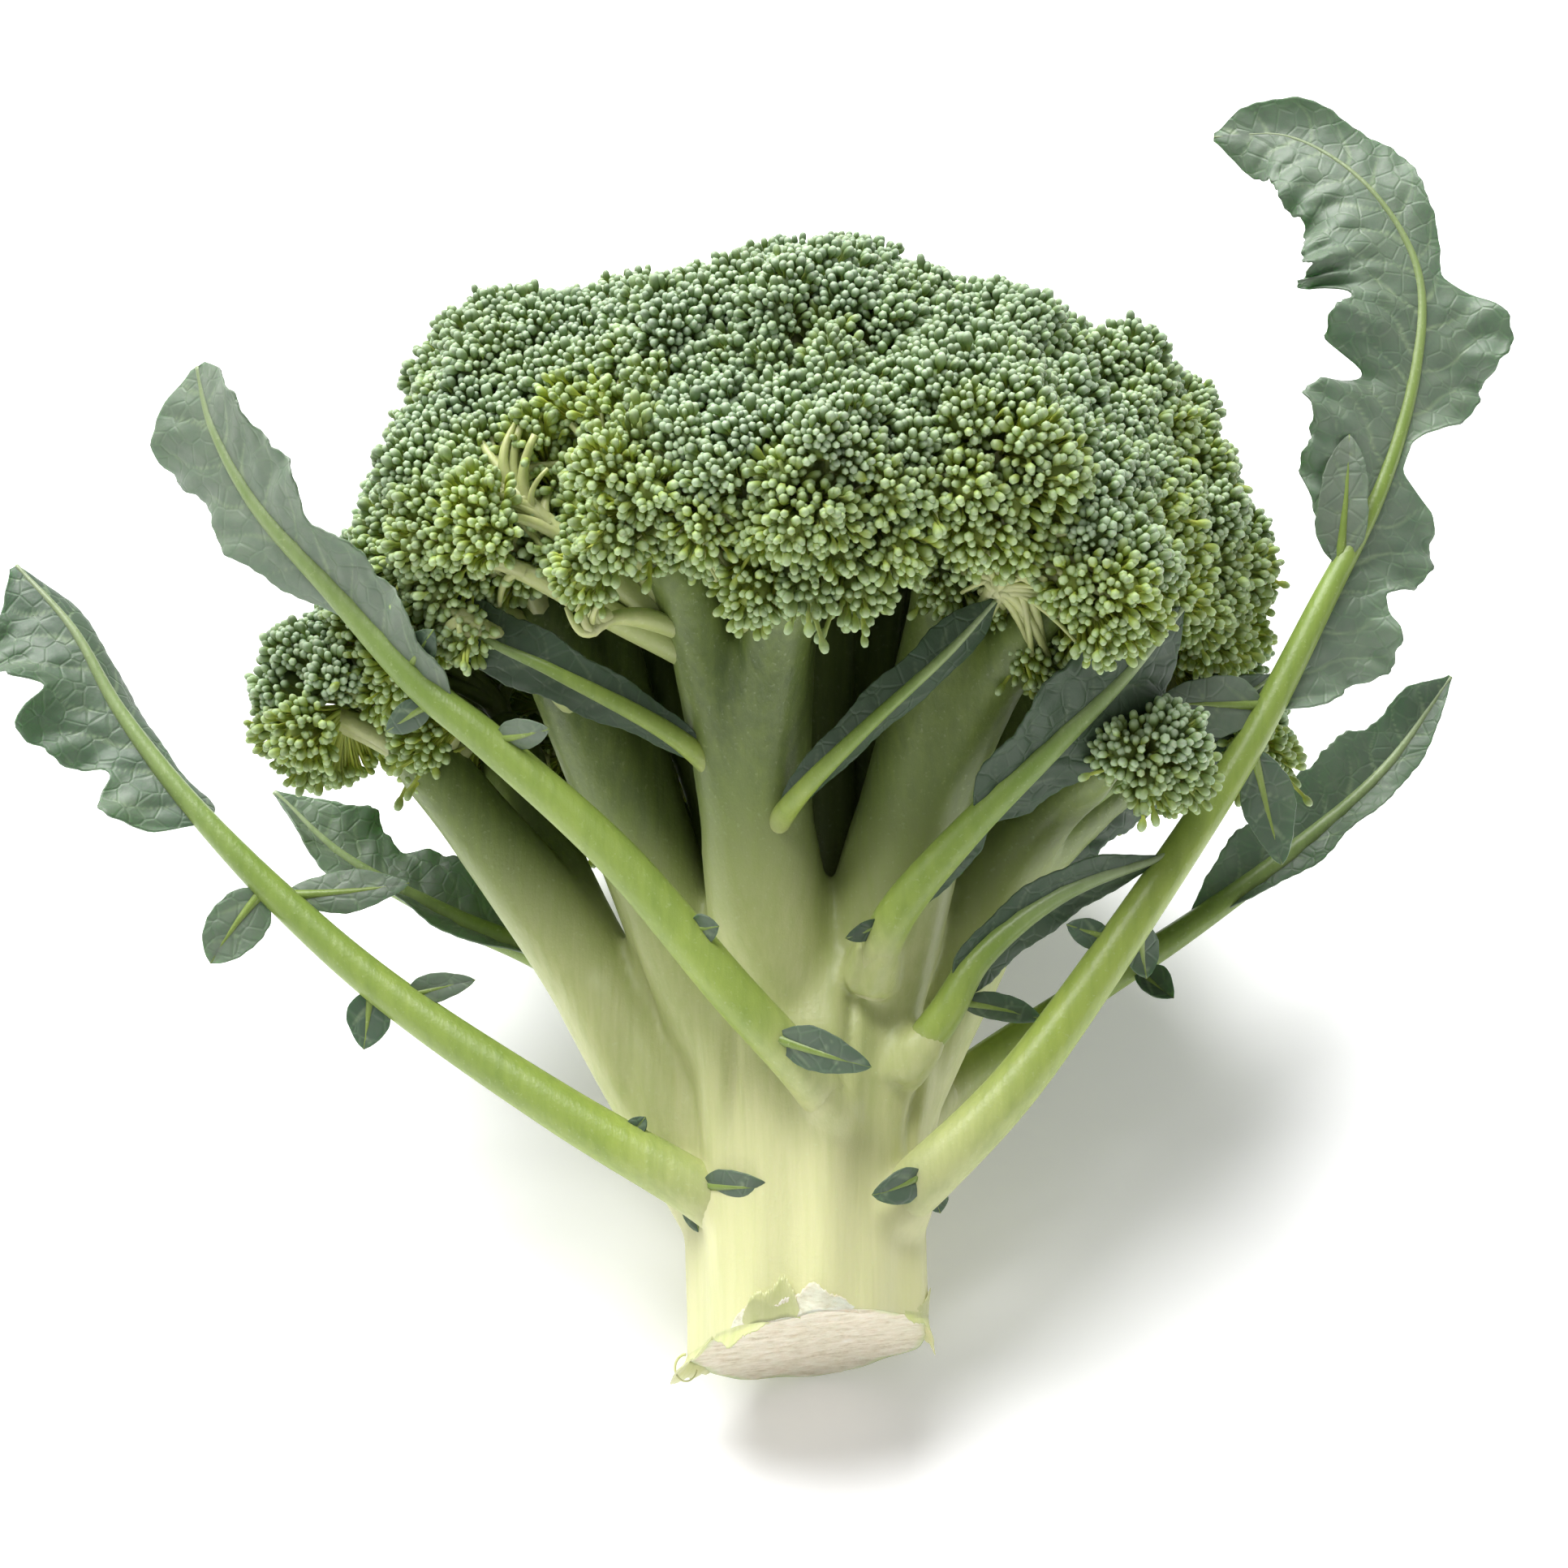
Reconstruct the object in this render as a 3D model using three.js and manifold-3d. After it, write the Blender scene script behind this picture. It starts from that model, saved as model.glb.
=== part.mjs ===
// A cut head of broccoli: one stalk, a crown of florets on their branches, and the leaves round it.
// The plant is built standing, with its axis along +Z and the cut at z = 0. Its group then lays it
// down: +X to the right, +Y away from the cut end, +Z up from the surface it lies on. Millimetres.
import * as THREE from "three";
import { mergeVertices } from "three/addons/utils/BufferGeometryUtils.js";
import Module from "manifold-3d";

const wasm = await Module();
wasm.setup();

// Driving dimensions.
const LIE_ANGLE = 30; // degrees that the axis rises from the surface
const GAP = 0.35; // clear space between neighbouring pieces
const CROWN_Z = 100; // height of the crown's centre above the cut
const CROWN_RADIUS = 62; // from the axis to the centres of the outermost florets
const CROWN_RISE = 58; // from the crown's centre to the centre of the top floret
const FORK = new THREE.Vector3(0, 0, 40); // where the branches' directions meet, inside the stalk
const STALK_SIDES = 21;
const RIDGES = 7; // shallow ribs round the stalk
const RIDGE_DEPTH = 0.035; // of the stalk's radius
const CUT_SLOPE = [0.12, -0.16]; // rise of the cut face along +X and +Y
const CUT_REACH = 3.2; // how far the middle of the cut lies below z = 0
const HEAD_SIDES = 12;
const HEAD_BANDS = 8;
const BRANCH_SIDES = 7;
const NEIGHBOUR_REACH = 1.8; // florets closer than this many of their own widths share a border
const LEAF_SIDES = 8;
const BLADE_HALF_THICKNESS = 0.7;
const MIDRIB_HALF_THICKNESS = 1.7;

// The stalk's outline: [radius, height above the cut].
const STALK_OUTLINE = [
  [0, 0], [18, 0], [18, 12], [19, 25], [22, 37], [25, 48], [24, 58], [16, 66], [0, 70],
];

// Each floret, by eye round the crown: angle from the axis, angle round it (0 is the upper side, + is
// to the right), radius of its head, height at which its branch leaves the axis, and how far out its
// head stands, as a part of the crown's own radius.
const FLORETS = [
  [54, 1, 17.5, 40, 0.97], [53, -58, 18.5, 40, 1.05], [77, -55, 18.1, 34, 1], [81, -24, 13.5, 38, 1],
  [84, -1, 14.5, 38, 1], [76, 23, 16.5, 36, 1], [57, 61, 17, 40, 1.02], [92, 38, 14, 32, 1],
  [76, 73, 14, 34, 1], [96, -82, 15.5, 20, 1.18], [57, -24, 14, 40, 0.97], [55, 31, 13.5, 40, 1],
  [113, 57, 10.5, 24, 1], [99, 86, 11, 24, 1.1], [14, 10, 19, 44, 0.93], [33, 118, 19, 42, 1],
  [31, -100, 19, 42, 1], [35, -172, 18.5, 42, 1], [59, 97, 17.5, 38, 1], [61, 135, 18, 38, 1],
  [63, 172, 17.5, 38, 1], [62, -149, 18, 38, 1], [60, -109, 17.5, 38, 1], [88, 115, 16, 30, 1],
  [88, 147, 16.5, 28, 1], [88, -179, 16, 28, 1], [88, -145, 16.5, 28, 1], [86, -113, 16, 30, 1],
];

// Each leaf: the points of its midrib, the half width at each, and the way its upper face looks.
const LEAVES = {
  leaf_right_long: {
    rib: [[9, -8, 14], [17, -13, 20], [31, -17, 34], [50, -19, 60], [66, -20, 84], [78, -22, 106],
      [88, -24, 125], [94, -26, 144], [95, -27, 160], [88, -28, 174], [77, -26, 184]],
    half: [4, 4.2, 3.9, 3.4, 3, 8, 10, 12, 11, 8, 2.5],
    face: [0.1, -0.94, -0.34],
  },
  leaf_left_long: {
    rib: [[-10, -6, 14], [-18, -9, 19], [-37, -10, 30], [-61, -10, 46], [-78, -11, 60], [-94, -13, 76],
      [-106, -14, 91], [-114, -15, 104], [-124, -15, 115]],
    half: [4, 4, 3.7, 3.2, 3, 5, 10, 12, 5],
    face: [0.2, -0.9, -0.38],
  },
  leaf_upper_left: {
    rib: [[2, -17, 24], [0, -24, 34], [-12, -29, 44], [-28, -33, 62], [-46, -36, 78], [-57, -37, 87],
      [-70, -39, 101], [-81, -41, 113], [-88, -42, 125], [-91, -43, 135]],
    half: [3.4, 3.6, 3.4, 3.1, 3.4, 6, 8, 9, 7, 2.5],
    face: [-0.45, -0.8, -0.4],
  },
  leaf_inner_left: {
    rib: [[-14, -32, 76], [-21, -36, 80], [-37, -39, 88], [-47, -39, 93], [-57, -38, 101]],
    half: [2.2, 2.8, 5, 5, 2],
    face: [-0.3, -0.85, -0.45],
  },
  leaf_back_left: {
    rib: [[-14, 8, 26], [-26, 13, 43], [-40, 17, 58], [-58, 19, 67], [-76, 19, 77], [-88, 17, 88]],
    half: [3.2, 3, 3, 5, 7, 3],
    face: [-0.2, -0.5, 0.85],
  },
  leaf_centre: {
    rib: [[-1, -33, 66], [-3, -39, 71], [8, -45, 79], [19, -49, 88], [26, -51, 95]],
    half: [2.2, 2.6, 4.2, 4, 1.8],
    face: [0.1, -0.75, -0.65],
  },
  leaf_inner_right: {
    rib: [[8, -19, 46], [12, -27, 55], [22, -32, 66], [34, -37, 77], [44, -41, 86], [53, -44, 96]],
    half: [3, 3.4, 6, 9, 8, 2.5],
    face: [0.35, -0.8, -0.5],
  },
  leaf_low_right: {
    rib: [[12, -14, 34], [19, -18, 42], [25, -20, 51], [37, -21, 60], [53, -21, 66]],
    half: [2.4, 3.2, 5, 5, 2],
    face: [0, -0.9, -0.4],
  },
  leaf_middle_right: {
    rib: [[16, -3, 44], [27, -5, 60], [40, -8, 76], [56, -10, 87], [72, -11, 98]],
    half: [2.4, 3, 7, 8, 3],
    face: [0.1, -0.8, -0.6],
  },
  leaf_back_right: {
    rib: [[14, 11, 30], [26, 20, 42], [44, 25, 55], [62, 27, 67], [81, 28, 81], [97, 28, 95], [110, 27, 112]],
    half: [3.4, 3.4, 3.4, 5, 9, 9, 3],
    face: [0.3, -0.6, 0.7],
  },
};

const GREENS = {
  stalk: new THREE.MeshStandardMaterial({ color: 0xa9b96b, roughness: 0.45, metalness: 0 }),
  floret: new THREE.MeshStandardMaterial({ color: 0x6f8f63, roughness: 0.8, metalness: 0 }),
  leaf: new THREE.MeshStandardMaterial({ color: 0x4d7350, roughness: 0.6, metalness: 0 }),
};

// A closed three.js geometry as a manifold solid.
function solidOf(geometry) {
  const bare = geometry.clone();
  bare.deleteAttribute("normal");
  bare.deleteAttribute("uv");
  const merged = mergeVertices(bare, 1e-4);
  const mesh = new wasm.Mesh({
    numProp: 3,
    vertProperties: new Float32Array(merged.attributes.position.array),
    triVerts: new Uint32Array(merged.index.array),
  });
  return new wasm.Manifold(mesh);
}

// A manifold solid as a three.js geometry. Only its largest body is kept, so a cut leaves no crumbs.
function geometryOf(solid) {
  const bodies = solid.decompose();
  bodies.sort((a, b) => b.volume() - a.volume());
  const mesh = bodies[0].getMesh();
  const geometry = new THREE.BufferGeometry();
  geometry.setAttribute("position", new THREE.BufferAttribute(mesh.vertProperties, 3));
  geometry.setIndex(new THREE.BufferAttribute(mesh.triVerts, 1));
  geometry.computeVertexNormals();
  return geometry;
}

// A closed skin over rings of points, each ring seen counter-clockwise from the end of the loft.
function loft(rings) {
  const sides = rings[0].length;
  const centre = (ring) => ring.reduce((sum, p) => sum.add(p), new THREE.Vector3()).divideScalar(sides);
  const points = [...rings.flat(), centre(rings[0]), centre(rings[rings.length - 1])];
  const first = points.length - 2;
  const last = points.length - 1;
  const index = [];
  for (let i = 0; i < rings.length - 1; i += 1) {
    for (let k = 0; k < sides; k += 1) {
      const a = i * sides + k;
      const b = i * sides + (k + 1) % sides;
      index.push(a, b, b + sides, a, b + sides, a + sides);
    }
  }
  const top = (rings.length - 1) * sides;
  for (let k = 0; k < sides; k += 1) {
    index.push(first, (k + 1) % sides, k);
    index.push(last, top + k, top + (k + 1) % sides);
  }
  const geometry = new THREE.BufferGeometry().setFromPoints(points);
  geometry.setIndex(index);
  return geometry;
}

// A value between the entries of a list, at t from 0 to 1 along it.
function along(list, t) {
  const place = t * (list.length - 1);
  const i = Math.min(Math.floor(place), list.length - 2);
  return THREE.MathUtils.lerp(list[i], list[i + 1], place - i);
}

// The stalk: a ribbed, slightly bulging stem with an oblique cut, its top a dome inside the crown.
function stalkSolid(grow) {
  const outline = STALK_OUTLINE.map(([radius, z]) => new THREE.Vector2(radius, z));
  const geometry = new THREE.LatheGeometry(outline, STALK_SIDES);
  geometry.rotateX(Math.PI / 2);
  const place = geometry.attributes.position;
  for (let i = 0; i < place.count; i += 1) {
    const angle = Math.atan2(place.getY(i), place.getX(i));
    const z = place.getZ(i);
    const radius = Math.hypot(place.getX(i), place.getY(i));
    const ribs = 1 + RIDGE_DEPTH * Math.cos(RIDGES * angle + z / 30);
    const grown = radius > 0 ? radius * ribs + grow : 0;
    const x = grown * Math.cos(angle);
    const y = grown * Math.sin(angle);
    const nearCut = Math.max(0, 1 - z / 12);
    const slope = (CUT_SLOPE[0] * x + CUT_SLOPE[1] * y - CUT_REACH) * nearCut;
    const lengthen = z > 60 ? grow : 0;
    place.setXYZ(i, x, y, z + slope + lengthen);
  }
  return solidOf(geometry);
}

// The centre of a floret's head.
function headCentre([fromAxis, round, , , reach]) {
  const polar = THREE.MathUtils.degToRad(fromAxis);
  const turn = THREE.MathUtils.degToRad(round);
  const out = reach * CROWN_RADIUS * Math.sin(polar);
  const height = CROWN_Z + reach * CROWN_RISE * Math.cos(polar);
  return new THREE.Vector3(out * Math.sin(turn), -out * Math.cos(turn), height);
}

// A floret: a round head on a branch that widens from the stalk towards it.
function floretSolid(floret) {
  const [, , radius, forkHeight] = floret;
  const centre = headCentre(floret);
  const head = new THREE.SphereGeometry(radius, HEAD_SIDES, HEAD_BANDS);
  const outward = centre.clone().sub(FORK).normalize();
  head.applyQuaternion(new THREE.Quaternion().setFromUnitVectors(new THREE.Vector3(0, 1, 0), outward));
  head.translate(centre.x, centre.y, centre.z);
  const start = new THREE.Vector3(0, 0, forkHeight);
  const bend = start.clone().lerp(centre, 0.5);
  bend.z += 4;
  const branch = new THREE.QuadraticBezierCurve3(start, bend, centre);
  const rings = [];
  for (const t of [0.1, 0.45, 0.7, 0.92]) {
    const middle = branch.getPoint(t);
    const turn = new THREE.Quaternion().setFromUnitVectors(new THREE.Vector3(0, 0, 1), branch.getTangent(t));
    const width = radius * along([0.34, 0.34, 0.38, 0.45, 0.72, 0.9], t);
    const ring = [];
    for (let k = 0; k < BRANCH_SIDES; k += 1) {
      const angle = (2 * Math.PI * k) / BRANCH_SIDES;
      const rim = new THREE.Vector3(width * Math.cos(angle), width * Math.sin(angle), 0);
      ring.push(rim.applyQuaternion(turn).add(middle));
    }
    rings.push(ring);
  }
  return solidOf(head).add(solidOf(loft(rings)));
}

// The half space on the far side of the plane between two neighbouring florets.
function beyondNeighbour(floret, neighbour) {
  const mine = headCentre(floret).sub(FORK);
  const theirs = headCentre(neighbour).sub(FORK);
  const myWidth = Math.atan(floret[2] / mine.length());
  const theirWidth = Math.atan(neighbour[2] / theirs.length());
  const between = mine.angleTo(theirs);
  if (between > NEIGHBOUR_REACH * (myWidth + theirWidth)) return null;
  const axis = mine.clone().cross(theirs).normalize();
  const border = mine.clone().normalize().applyAxisAngle(axis, (between * myWidth) / (myWidth + theirWidth));
  const inward = border.clone().cross(axis).negate();
  if (inward.dot(mine) < 0) inward.negate();
  const size = 400;
  const block = new THREE.BoxGeometry(size, size, size);
  block.applyQuaternion(new THREE.Quaternion().setFromUnitVectors(new THREE.Vector3(0, 0, 1), inward));
  const middle = FORK.clone().addScaledVector(inward, GAP / 2 - size / 2);
  block.translate(middle.x, middle.y, middle.z);
  return solidOf(block);
}

// A leaf: a round petiole that flattens into a ruffled blade with a raised midrib.
function leafSolid({ rib, half, face }, grow) {
  const spine = new THREE.CatmullRomCurve3(rib.map((p) => new THREE.Vector3(...p)));
  const faceWay = new THREE.Vector3(...face);
  const steps = 2 * (rib.length - 1);
  const rings = [];
  for (let i = 0; i <= steps; i += 1) {
    const t = i / steps;
    const middle = spine.getPoint(t);
    const forward = spine.getTangent(t);
    const sideways = faceWay.clone().cross(forward).normalize();
    const upward = forward.clone().cross(sideways).normalize();
    const width = along(half, t);
    const flat = THREE.MathUtils.smoothstep(width, 4.2, 6) * (t > 0.25 ? 1 : 0);
    const edge = THREE.MathUtils.lerp(width, BLADE_HALF_THICKNESS, flat);
    const ruffle = flat * 1.6 * Math.sin(i * 2.1);
    const ring = [];
    for (let k = 0; k < LEAF_SIDES; k += 1) {
      const angle = (2 * Math.PI * k) / LEAF_SIDES;
      const across = Math.cos(angle);
      const nearRib = 1 - Math.min(1, Math.abs(across) * 2.2);
      const rise = edge + flat * nearRib * (MIDRIB_HALF_THICKNESS - BLADE_HALF_THICKNESS);
      const lift = (rise + grow) * Math.sin(angle) + ruffle * across;
      const point = middle.clone().addScaledVector(sideways, (width + grow) * across);
      ring.push(point.addScaledVector(upward, lift));
    }
    rings.push(ring);
  }
  return solidOf(loft(rings));
}

const plant = new THREE.Group();
plant.rotation.x = THREE.MathUtils.degToRad(LIE_ANGLE - 90);

function addPiece(name, solid, material) {
  const mesh = new THREE.Mesh(geometryOf(solid), material);
  mesh.name = name;
  plant.add(mesh);
}

addPiece("stalk", stalkSolid(0), GREENS.stalk);
const stalkRoom = stalkSolid(GAP);

const leafRooms = [];
for (const [name, leaf] of Object.entries(LEAVES)) {
  const neighbours = [stalkRoom, ...leafRooms];
  const solid = neighbours.reduce((left, room) => left.subtract(room), leafSolid(leaf, 0));
  leafRooms.push(leafSolid(leaf, GAP));
  addPiece(name, solid, GREENS.leaf);
}

FLORETS.forEach((floret, i) => {
  let solid = floretSolid(floret).subtract(stalkRoom);
  for (const neighbour of FLORETS) {
    const room = neighbour === floret ? null : beyondNeighbour(floret, neighbour);
    if (room) solid = solid.subtract(room);
  }
  for (const room of leafRooms) solid = solid.subtract(room);
  addPiece(`floret_${String(i + 1).padStart(2, "0")}`, solid, GREENS.floret);
});

// The origin is the middle of the underside of the whole head's box.
const group = new THREE.Group();
group.add(plant);
group.updateMatrixWorld(true);
const box = new THREE.Box3().setFromObject(group, true);
const middle = box.getCenter(new THREE.Vector3());
group.position.set(-middle.x, -middle.y, -box.min.z);

export default group;
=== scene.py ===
import math

import bmesh
import bpy
import numpy as np
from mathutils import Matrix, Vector


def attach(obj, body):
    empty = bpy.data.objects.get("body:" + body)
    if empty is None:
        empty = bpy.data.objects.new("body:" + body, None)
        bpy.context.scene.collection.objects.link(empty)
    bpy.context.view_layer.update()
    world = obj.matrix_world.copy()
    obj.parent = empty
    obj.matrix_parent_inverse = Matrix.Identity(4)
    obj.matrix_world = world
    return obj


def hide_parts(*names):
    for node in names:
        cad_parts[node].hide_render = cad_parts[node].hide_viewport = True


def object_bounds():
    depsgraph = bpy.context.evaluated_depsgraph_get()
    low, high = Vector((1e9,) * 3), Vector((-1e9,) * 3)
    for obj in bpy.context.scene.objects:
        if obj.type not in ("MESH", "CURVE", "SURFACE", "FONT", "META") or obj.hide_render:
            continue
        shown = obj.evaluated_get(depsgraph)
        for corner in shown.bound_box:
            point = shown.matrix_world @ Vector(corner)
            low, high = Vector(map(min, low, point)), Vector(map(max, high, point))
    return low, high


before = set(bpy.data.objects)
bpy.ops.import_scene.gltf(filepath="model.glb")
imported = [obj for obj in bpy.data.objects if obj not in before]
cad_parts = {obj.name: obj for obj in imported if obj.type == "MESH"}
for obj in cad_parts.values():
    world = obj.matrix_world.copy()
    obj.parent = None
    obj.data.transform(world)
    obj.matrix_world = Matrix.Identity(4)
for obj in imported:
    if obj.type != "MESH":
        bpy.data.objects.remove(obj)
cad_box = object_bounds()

MM = 0.001
LIE_ANGLE = math.radians(30)  # how far the plant's axis rises from the surface
STALK_TOP = 70.0  # height of the stalk node's top above the cut, on the axis
FORK = np.array([0.0, 0.0, 40.0])  # where the branches part inside the stalk
CROWN_MIDDLE = np.array([0.0, 0.0, 92.0])
GOLDEN = math.pi * (3 - math.sqrt(5))
TURN = 6.28  # a full turn in radians, for the phases and lengths of waves

# The plant's axes in the frame, as rows: right, towards the floor, along the stalk.
PLANT_AXES = np.array([
    [1, 0, 0],
    [0, math.sin(LIE_ANGLE), -math.cos(LIE_ANGLE)],
    [0, math.cos(LIE_ANGLE), math.sin(LIE_ANGLE)],
])


def mesh_corners(mesh):
    """A mesh's corners as rows of x, y and z, in the frame, in metres."""
    found = np.empty(len(mesh.vertices) * 3, np.float32)
    mesh.vertices.foreach_get("co", found)
    return found.reshape(-1, 3).astype(float)


def plant_root():
    """Where the plant's own origin is in the frame: the stalk's top, less its length."""
    points = mesh_corners(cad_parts["stalk"].data)
    top = points[np.argmax(points @ PLANT_AXES[2])]
    return top - PLANT_AXES[2] * STALK_TOP * MM


ROOT = plant_root()


def to_plant(points):
    """Points of the frame, in metres, in the plant's axes, in millimetres."""
    return (points - ROOT) @ PLANT_AXES.T / MM


def to_frame(points):
    """The other way: from the plant's millimetres to the frame's metres."""
    return ROOT + (points * MM) @ PLANT_AXES


# ---------------------------------------------------------------- small vector helpers


def unit(v):
    """Vectors scaled to a length of one."""
    return v / np.maximum(np.linalg.norm(v, axis=-1, keepdims=True), 1e-9)


def smooth_step(x, low, high):
    """0 below low, 1 above high and an S-shaped rise between them."""
    t = np.clip((x - low) / (high - low), 0, 1)
    return t * t * (3 - 2 * t)


def basis(direction):
    """Two unit vectors square to a direction, and the direction itself."""
    d = unit(np.asarray(direction, float))
    helper = np.array([0.31, 0.93, 0.17]) if abs(d[1]) < 0.9 else np.array([0.9, 0.1, 0.4])
    first = unit(np.cross(d, helper))
    return np.stack([first, np.cross(d, first), d])


def cap_directions(direction, count, widest, turn=0.0):
    """Evenly spread unit vectors within an angle of a direction; count would cover the whole ball."""
    k = np.arange(count)
    height = 1 - (2 * k + 1) / count
    k, height = k[height > math.cos(widest)], height[height > math.cos(widest)]
    flat = np.sqrt(1 - height**2)
    local = np.stack([flat * np.cos(k * GOLDEN + turn), flat * np.sin(k * GOLDEN + turn), height], 1)
    return local @ basis(direction)


def lengths(path):
    """How far along a path (R, 3) each of its points is."""
    return np.concatenate([[0], np.cumsum(np.linalg.norm(np.diff(path, axis=0), axis=1))])


def spots_on_ball(radius, spacing, packing=0.87):
    """How many spots cover a ball at a spacing, in a honeycomb's packing unless told otherwise."""
    return 4 * math.pi * radius**2 / (packing * spacing**2)


def spline(points, count):
    """A smooth curve through points (Catmull-Rom), with count even steps of its parameter."""
    p = np.asarray(points, float)
    padded = np.vstack([2 * p[0] - p[1], p, 2 * p[-1] - p[-2]])
    place = np.linspace(0, len(p) - 1, count)
    i = np.minimum(place.astype(int), len(p) - 2)
    t = (place - i)[:, None]
    a, b, c, d = padded[i], padded[i + 1], padded[i + 2], padded[i + 3]
    return 0.5 * (2 * b + (c - a) * t + (2 * a - 5 * b + 4 * c - d) * t**2 + (3 * b - a - 3 * c + d) * t**3)


def bezier(a, b, c, t):
    """Points at t on many quadratic curves: a, b and c are (N, 3), t is (R,); the result is (N, R, 3)."""
    t = t[None, :, None]
    return a[:, None] * (1 - t) ** 2 + 2 * b[:, None] * t * (1 - t) + c[:, None] * t**2


# ---------------------------------------------------------------- meshes from arrays

TUBE_HELPER = np.array([0.31, 0.17, 0.93])  # a direction that few tubes run along, to turn rims from
BAKE_HALF = 0.46  # half the width of a cell's used part in the bake map, in cells


def tone_of(shape, *channels):
    """The numbers of a tone at every corner; each channel is one number or an array of them."""
    return np.stack([np.broadcast_to(channel, shape) for channel in channels], -1)


def grid_quads(rings, sides):
    """The faces of a tube of rings, with each face's ring and side."""
    i, j = np.meshgrid(np.arange(rings - 1), np.arange(sides), indexing="ij")
    i, j, after = i.ravel(), j.ravel(), (j.ravel() + 1) % sides
    quads = np.stack([i * sides + j, i * sides + after, (i + 1) * sides + after, (i + 1) * sides + j], 1)
    return quads, i, j


def new_object(name, data):
    """A new object, linked into the scene."""
    made = bpy.data.objects.new(name, data)
    bpy.context.scene.collection.objects.link(made)
    return made


class Skin:
    """Collects parts of one mesh: points, faces, a tone (three numbers a point) and a map's places."""

    def __init__(self):
        self.points, self.tones, self.faces, self.places, self.cells, self.kinds = [], [], [], [], [], []
        self.count = 0
        self.cell_count = 0

    def add_points(self, points, tones):
        """Adds corners with their tones, and says what number the first one has."""
        self.points.append(points)
        self.tones.append(tones)
        self.count += len(points)
        return self.count - len(points)

    def add_faces(self, faces, places, cells, kind):
        """places are each face's corners in its cell, from -1 to 1; cells number the faces' cells."""
        self.faces.append(faces)
        self.places.append(places)
        self.cells.append(cells + self.cell_count)
        self.kinds.append(np.full(len(faces), kind))

    def tubes(self, paths, radii, sides, tones, kind):
        """Round tubes along paths (T, R, 3) with radii (T, R), each closed to a point at its far end."""
        total, rings = radii.shape
        along = unit(np.gradient(paths, axis=1))
        start = np.cross(unit(paths[:, -1] - paths[:, 0]), TUBE_HELPER)
        first = unit(start[:, None] - np.sum(start[:, None] * along, 2, keepdims=True) * along)
        second = np.cross(along, first)
        turn = 2 * np.pi * np.arange(sides) / sides
        rim = np.cos(turn)[:, None] * first[:, :, None] + np.sin(turn)[:, None] * second[:, :, None]
        body = paths[:, :, None] + radii[:, :, None, None] * rim
        points = np.concatenate([body.reshape(total, -1, 3), paths[:, -1:]], 1)
        tone = np.concatenate([np.repeat(tones, sides, axis=1), tones[:, -1:]], 1)
        quads = grid_quads(rings, sides)[0]
        last, side = (rings - 1) * sides, np.arange(sides)
        fan = np.stack([last + side, last + (side + 1) % sides, np.full(sides, rings * sides)], 1)
        reach = np.repeat(1 - np.arange(rings) / rings, sides)
        disc = np.stack([reach * np.tile(np.cos(turn), rings), reach * np.tile(np.sin(turn), rings)], 1)
        disc = np.vstack([disc, [[0, 0]]])
        begin = self.add_points(points.reshape(-1, 3), tone.reshape(-1, 3))
        step = (begin + np.arange(total) * (rings * sides + 1))[:, None, None]
        for faces in (quads, fan):
            self.add_faces((faces[None] + step).reshape(-1, faces.shape[1]),
                           np.tile(disc[faces], (total, 1, 1)), np.repeat(np.arange(total), len(faces)), kind)
        self.cell_count += total

    def loft(self, rings, tones, kind):
        """One closed tube of any section: rings are (R, K, 3), with a middle point closing each end."""
        count, sides = rings.shape[:2]
        points = np.concatenate([rings.reshape(-1, 3), rings[:1].mean(1), rings[-1:].mean(1)])
        tone = np.concatenate([tones.reshape(-1, 3), tones[:1].mean(1), tones[-1:].mean(1)])
        quads, i, j = grid_quads(count, sides)
        places = np.stack([np.stack([2 * a / (count - 1) - 1, 2 * b / sides - 1], 1) for a, b in (
            (i, j), (i, j + 1), (i + 1, j + 1), (i + 1, j))], 1)
        turn = np.arange(sides)
        last, middle = (count - 1) * sides, count * sides
        caps = np.concatenate([
            np.stack([(turn + 1) % sides, turn, np.full(sides, middle)], 1),
            np.stack([last + turn, last + (turn + 1) % sides, np.full(sides, middle + 1)], 1)])
        begin = self.add_points(points, tone)
        self.add_faces(quads + begin, places, np.zeros(len(quads), int), kind)
        self.add_faces(caps + begin, np.full((len(caps), 3, 2), -0.99), np.zeros(len(caps), int), kind)
        self.cell_count += 1

    def make(self, name, materials):
        """The finished object in the frame, with its tone attribute and its bake map."""
        mesh = bpy.data.meshes.new(name)
        points = to_frame(np.concatenate(self.points))
        points[:, 2] = np.maximum(points[:, 2], 0)
        sizes = np.concatenate([np.full(len(f), f.shape[1]) for f in self.faces])
        corners = np.concatenate([f.ravel() for f in self.faces])
        mesh.vertices.add(len(points))
        mesh.vertices.foreach_set("co", points.astype(np.float32).ravel())
        mesh.loops.add(len(corners))
        mesh.loops.foreach_set("vertex_index", corners.astype(np.int32))
        mesh.polygons.add(len(sizes))
        starts = np.concatenate([[0], np.cumsum(sizes)[:-1]])
        mesh.polygons.foreach_set("loop_start", starts.astype(np.int32))
        mesh.polygons.foreach_set("material_index", np.concatenate(self.kinds).astype(np.int32))
        mesh.polygons.foreach_set("use_smooth", np.ones(len(sizes), bool))
        set_tone(mesh, np.concatenate(self.tones))
        row = math.ceil(math.sqrt(max(self.cell_count, 1)))
        spots = []
        for places, cells in zip(self.places, self.cells):
            corner = np.stack([cells % row, cells // row], 1)[:, None, :]
            spots.append(((corner + 0.5 + BAKE_HALF * places) / row).reshape(-1, 2))
        layer = mesh.uv_layers.new(name="OFBake")
        layer.data.foreach_set("uv", np.concatenate(spots).astype(np.float32).ravel())
        for material in materials:
            mesh.materials.append(material)
        mesh.update()
        mesh.validate()
        return new_object(name, mesh)


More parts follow.
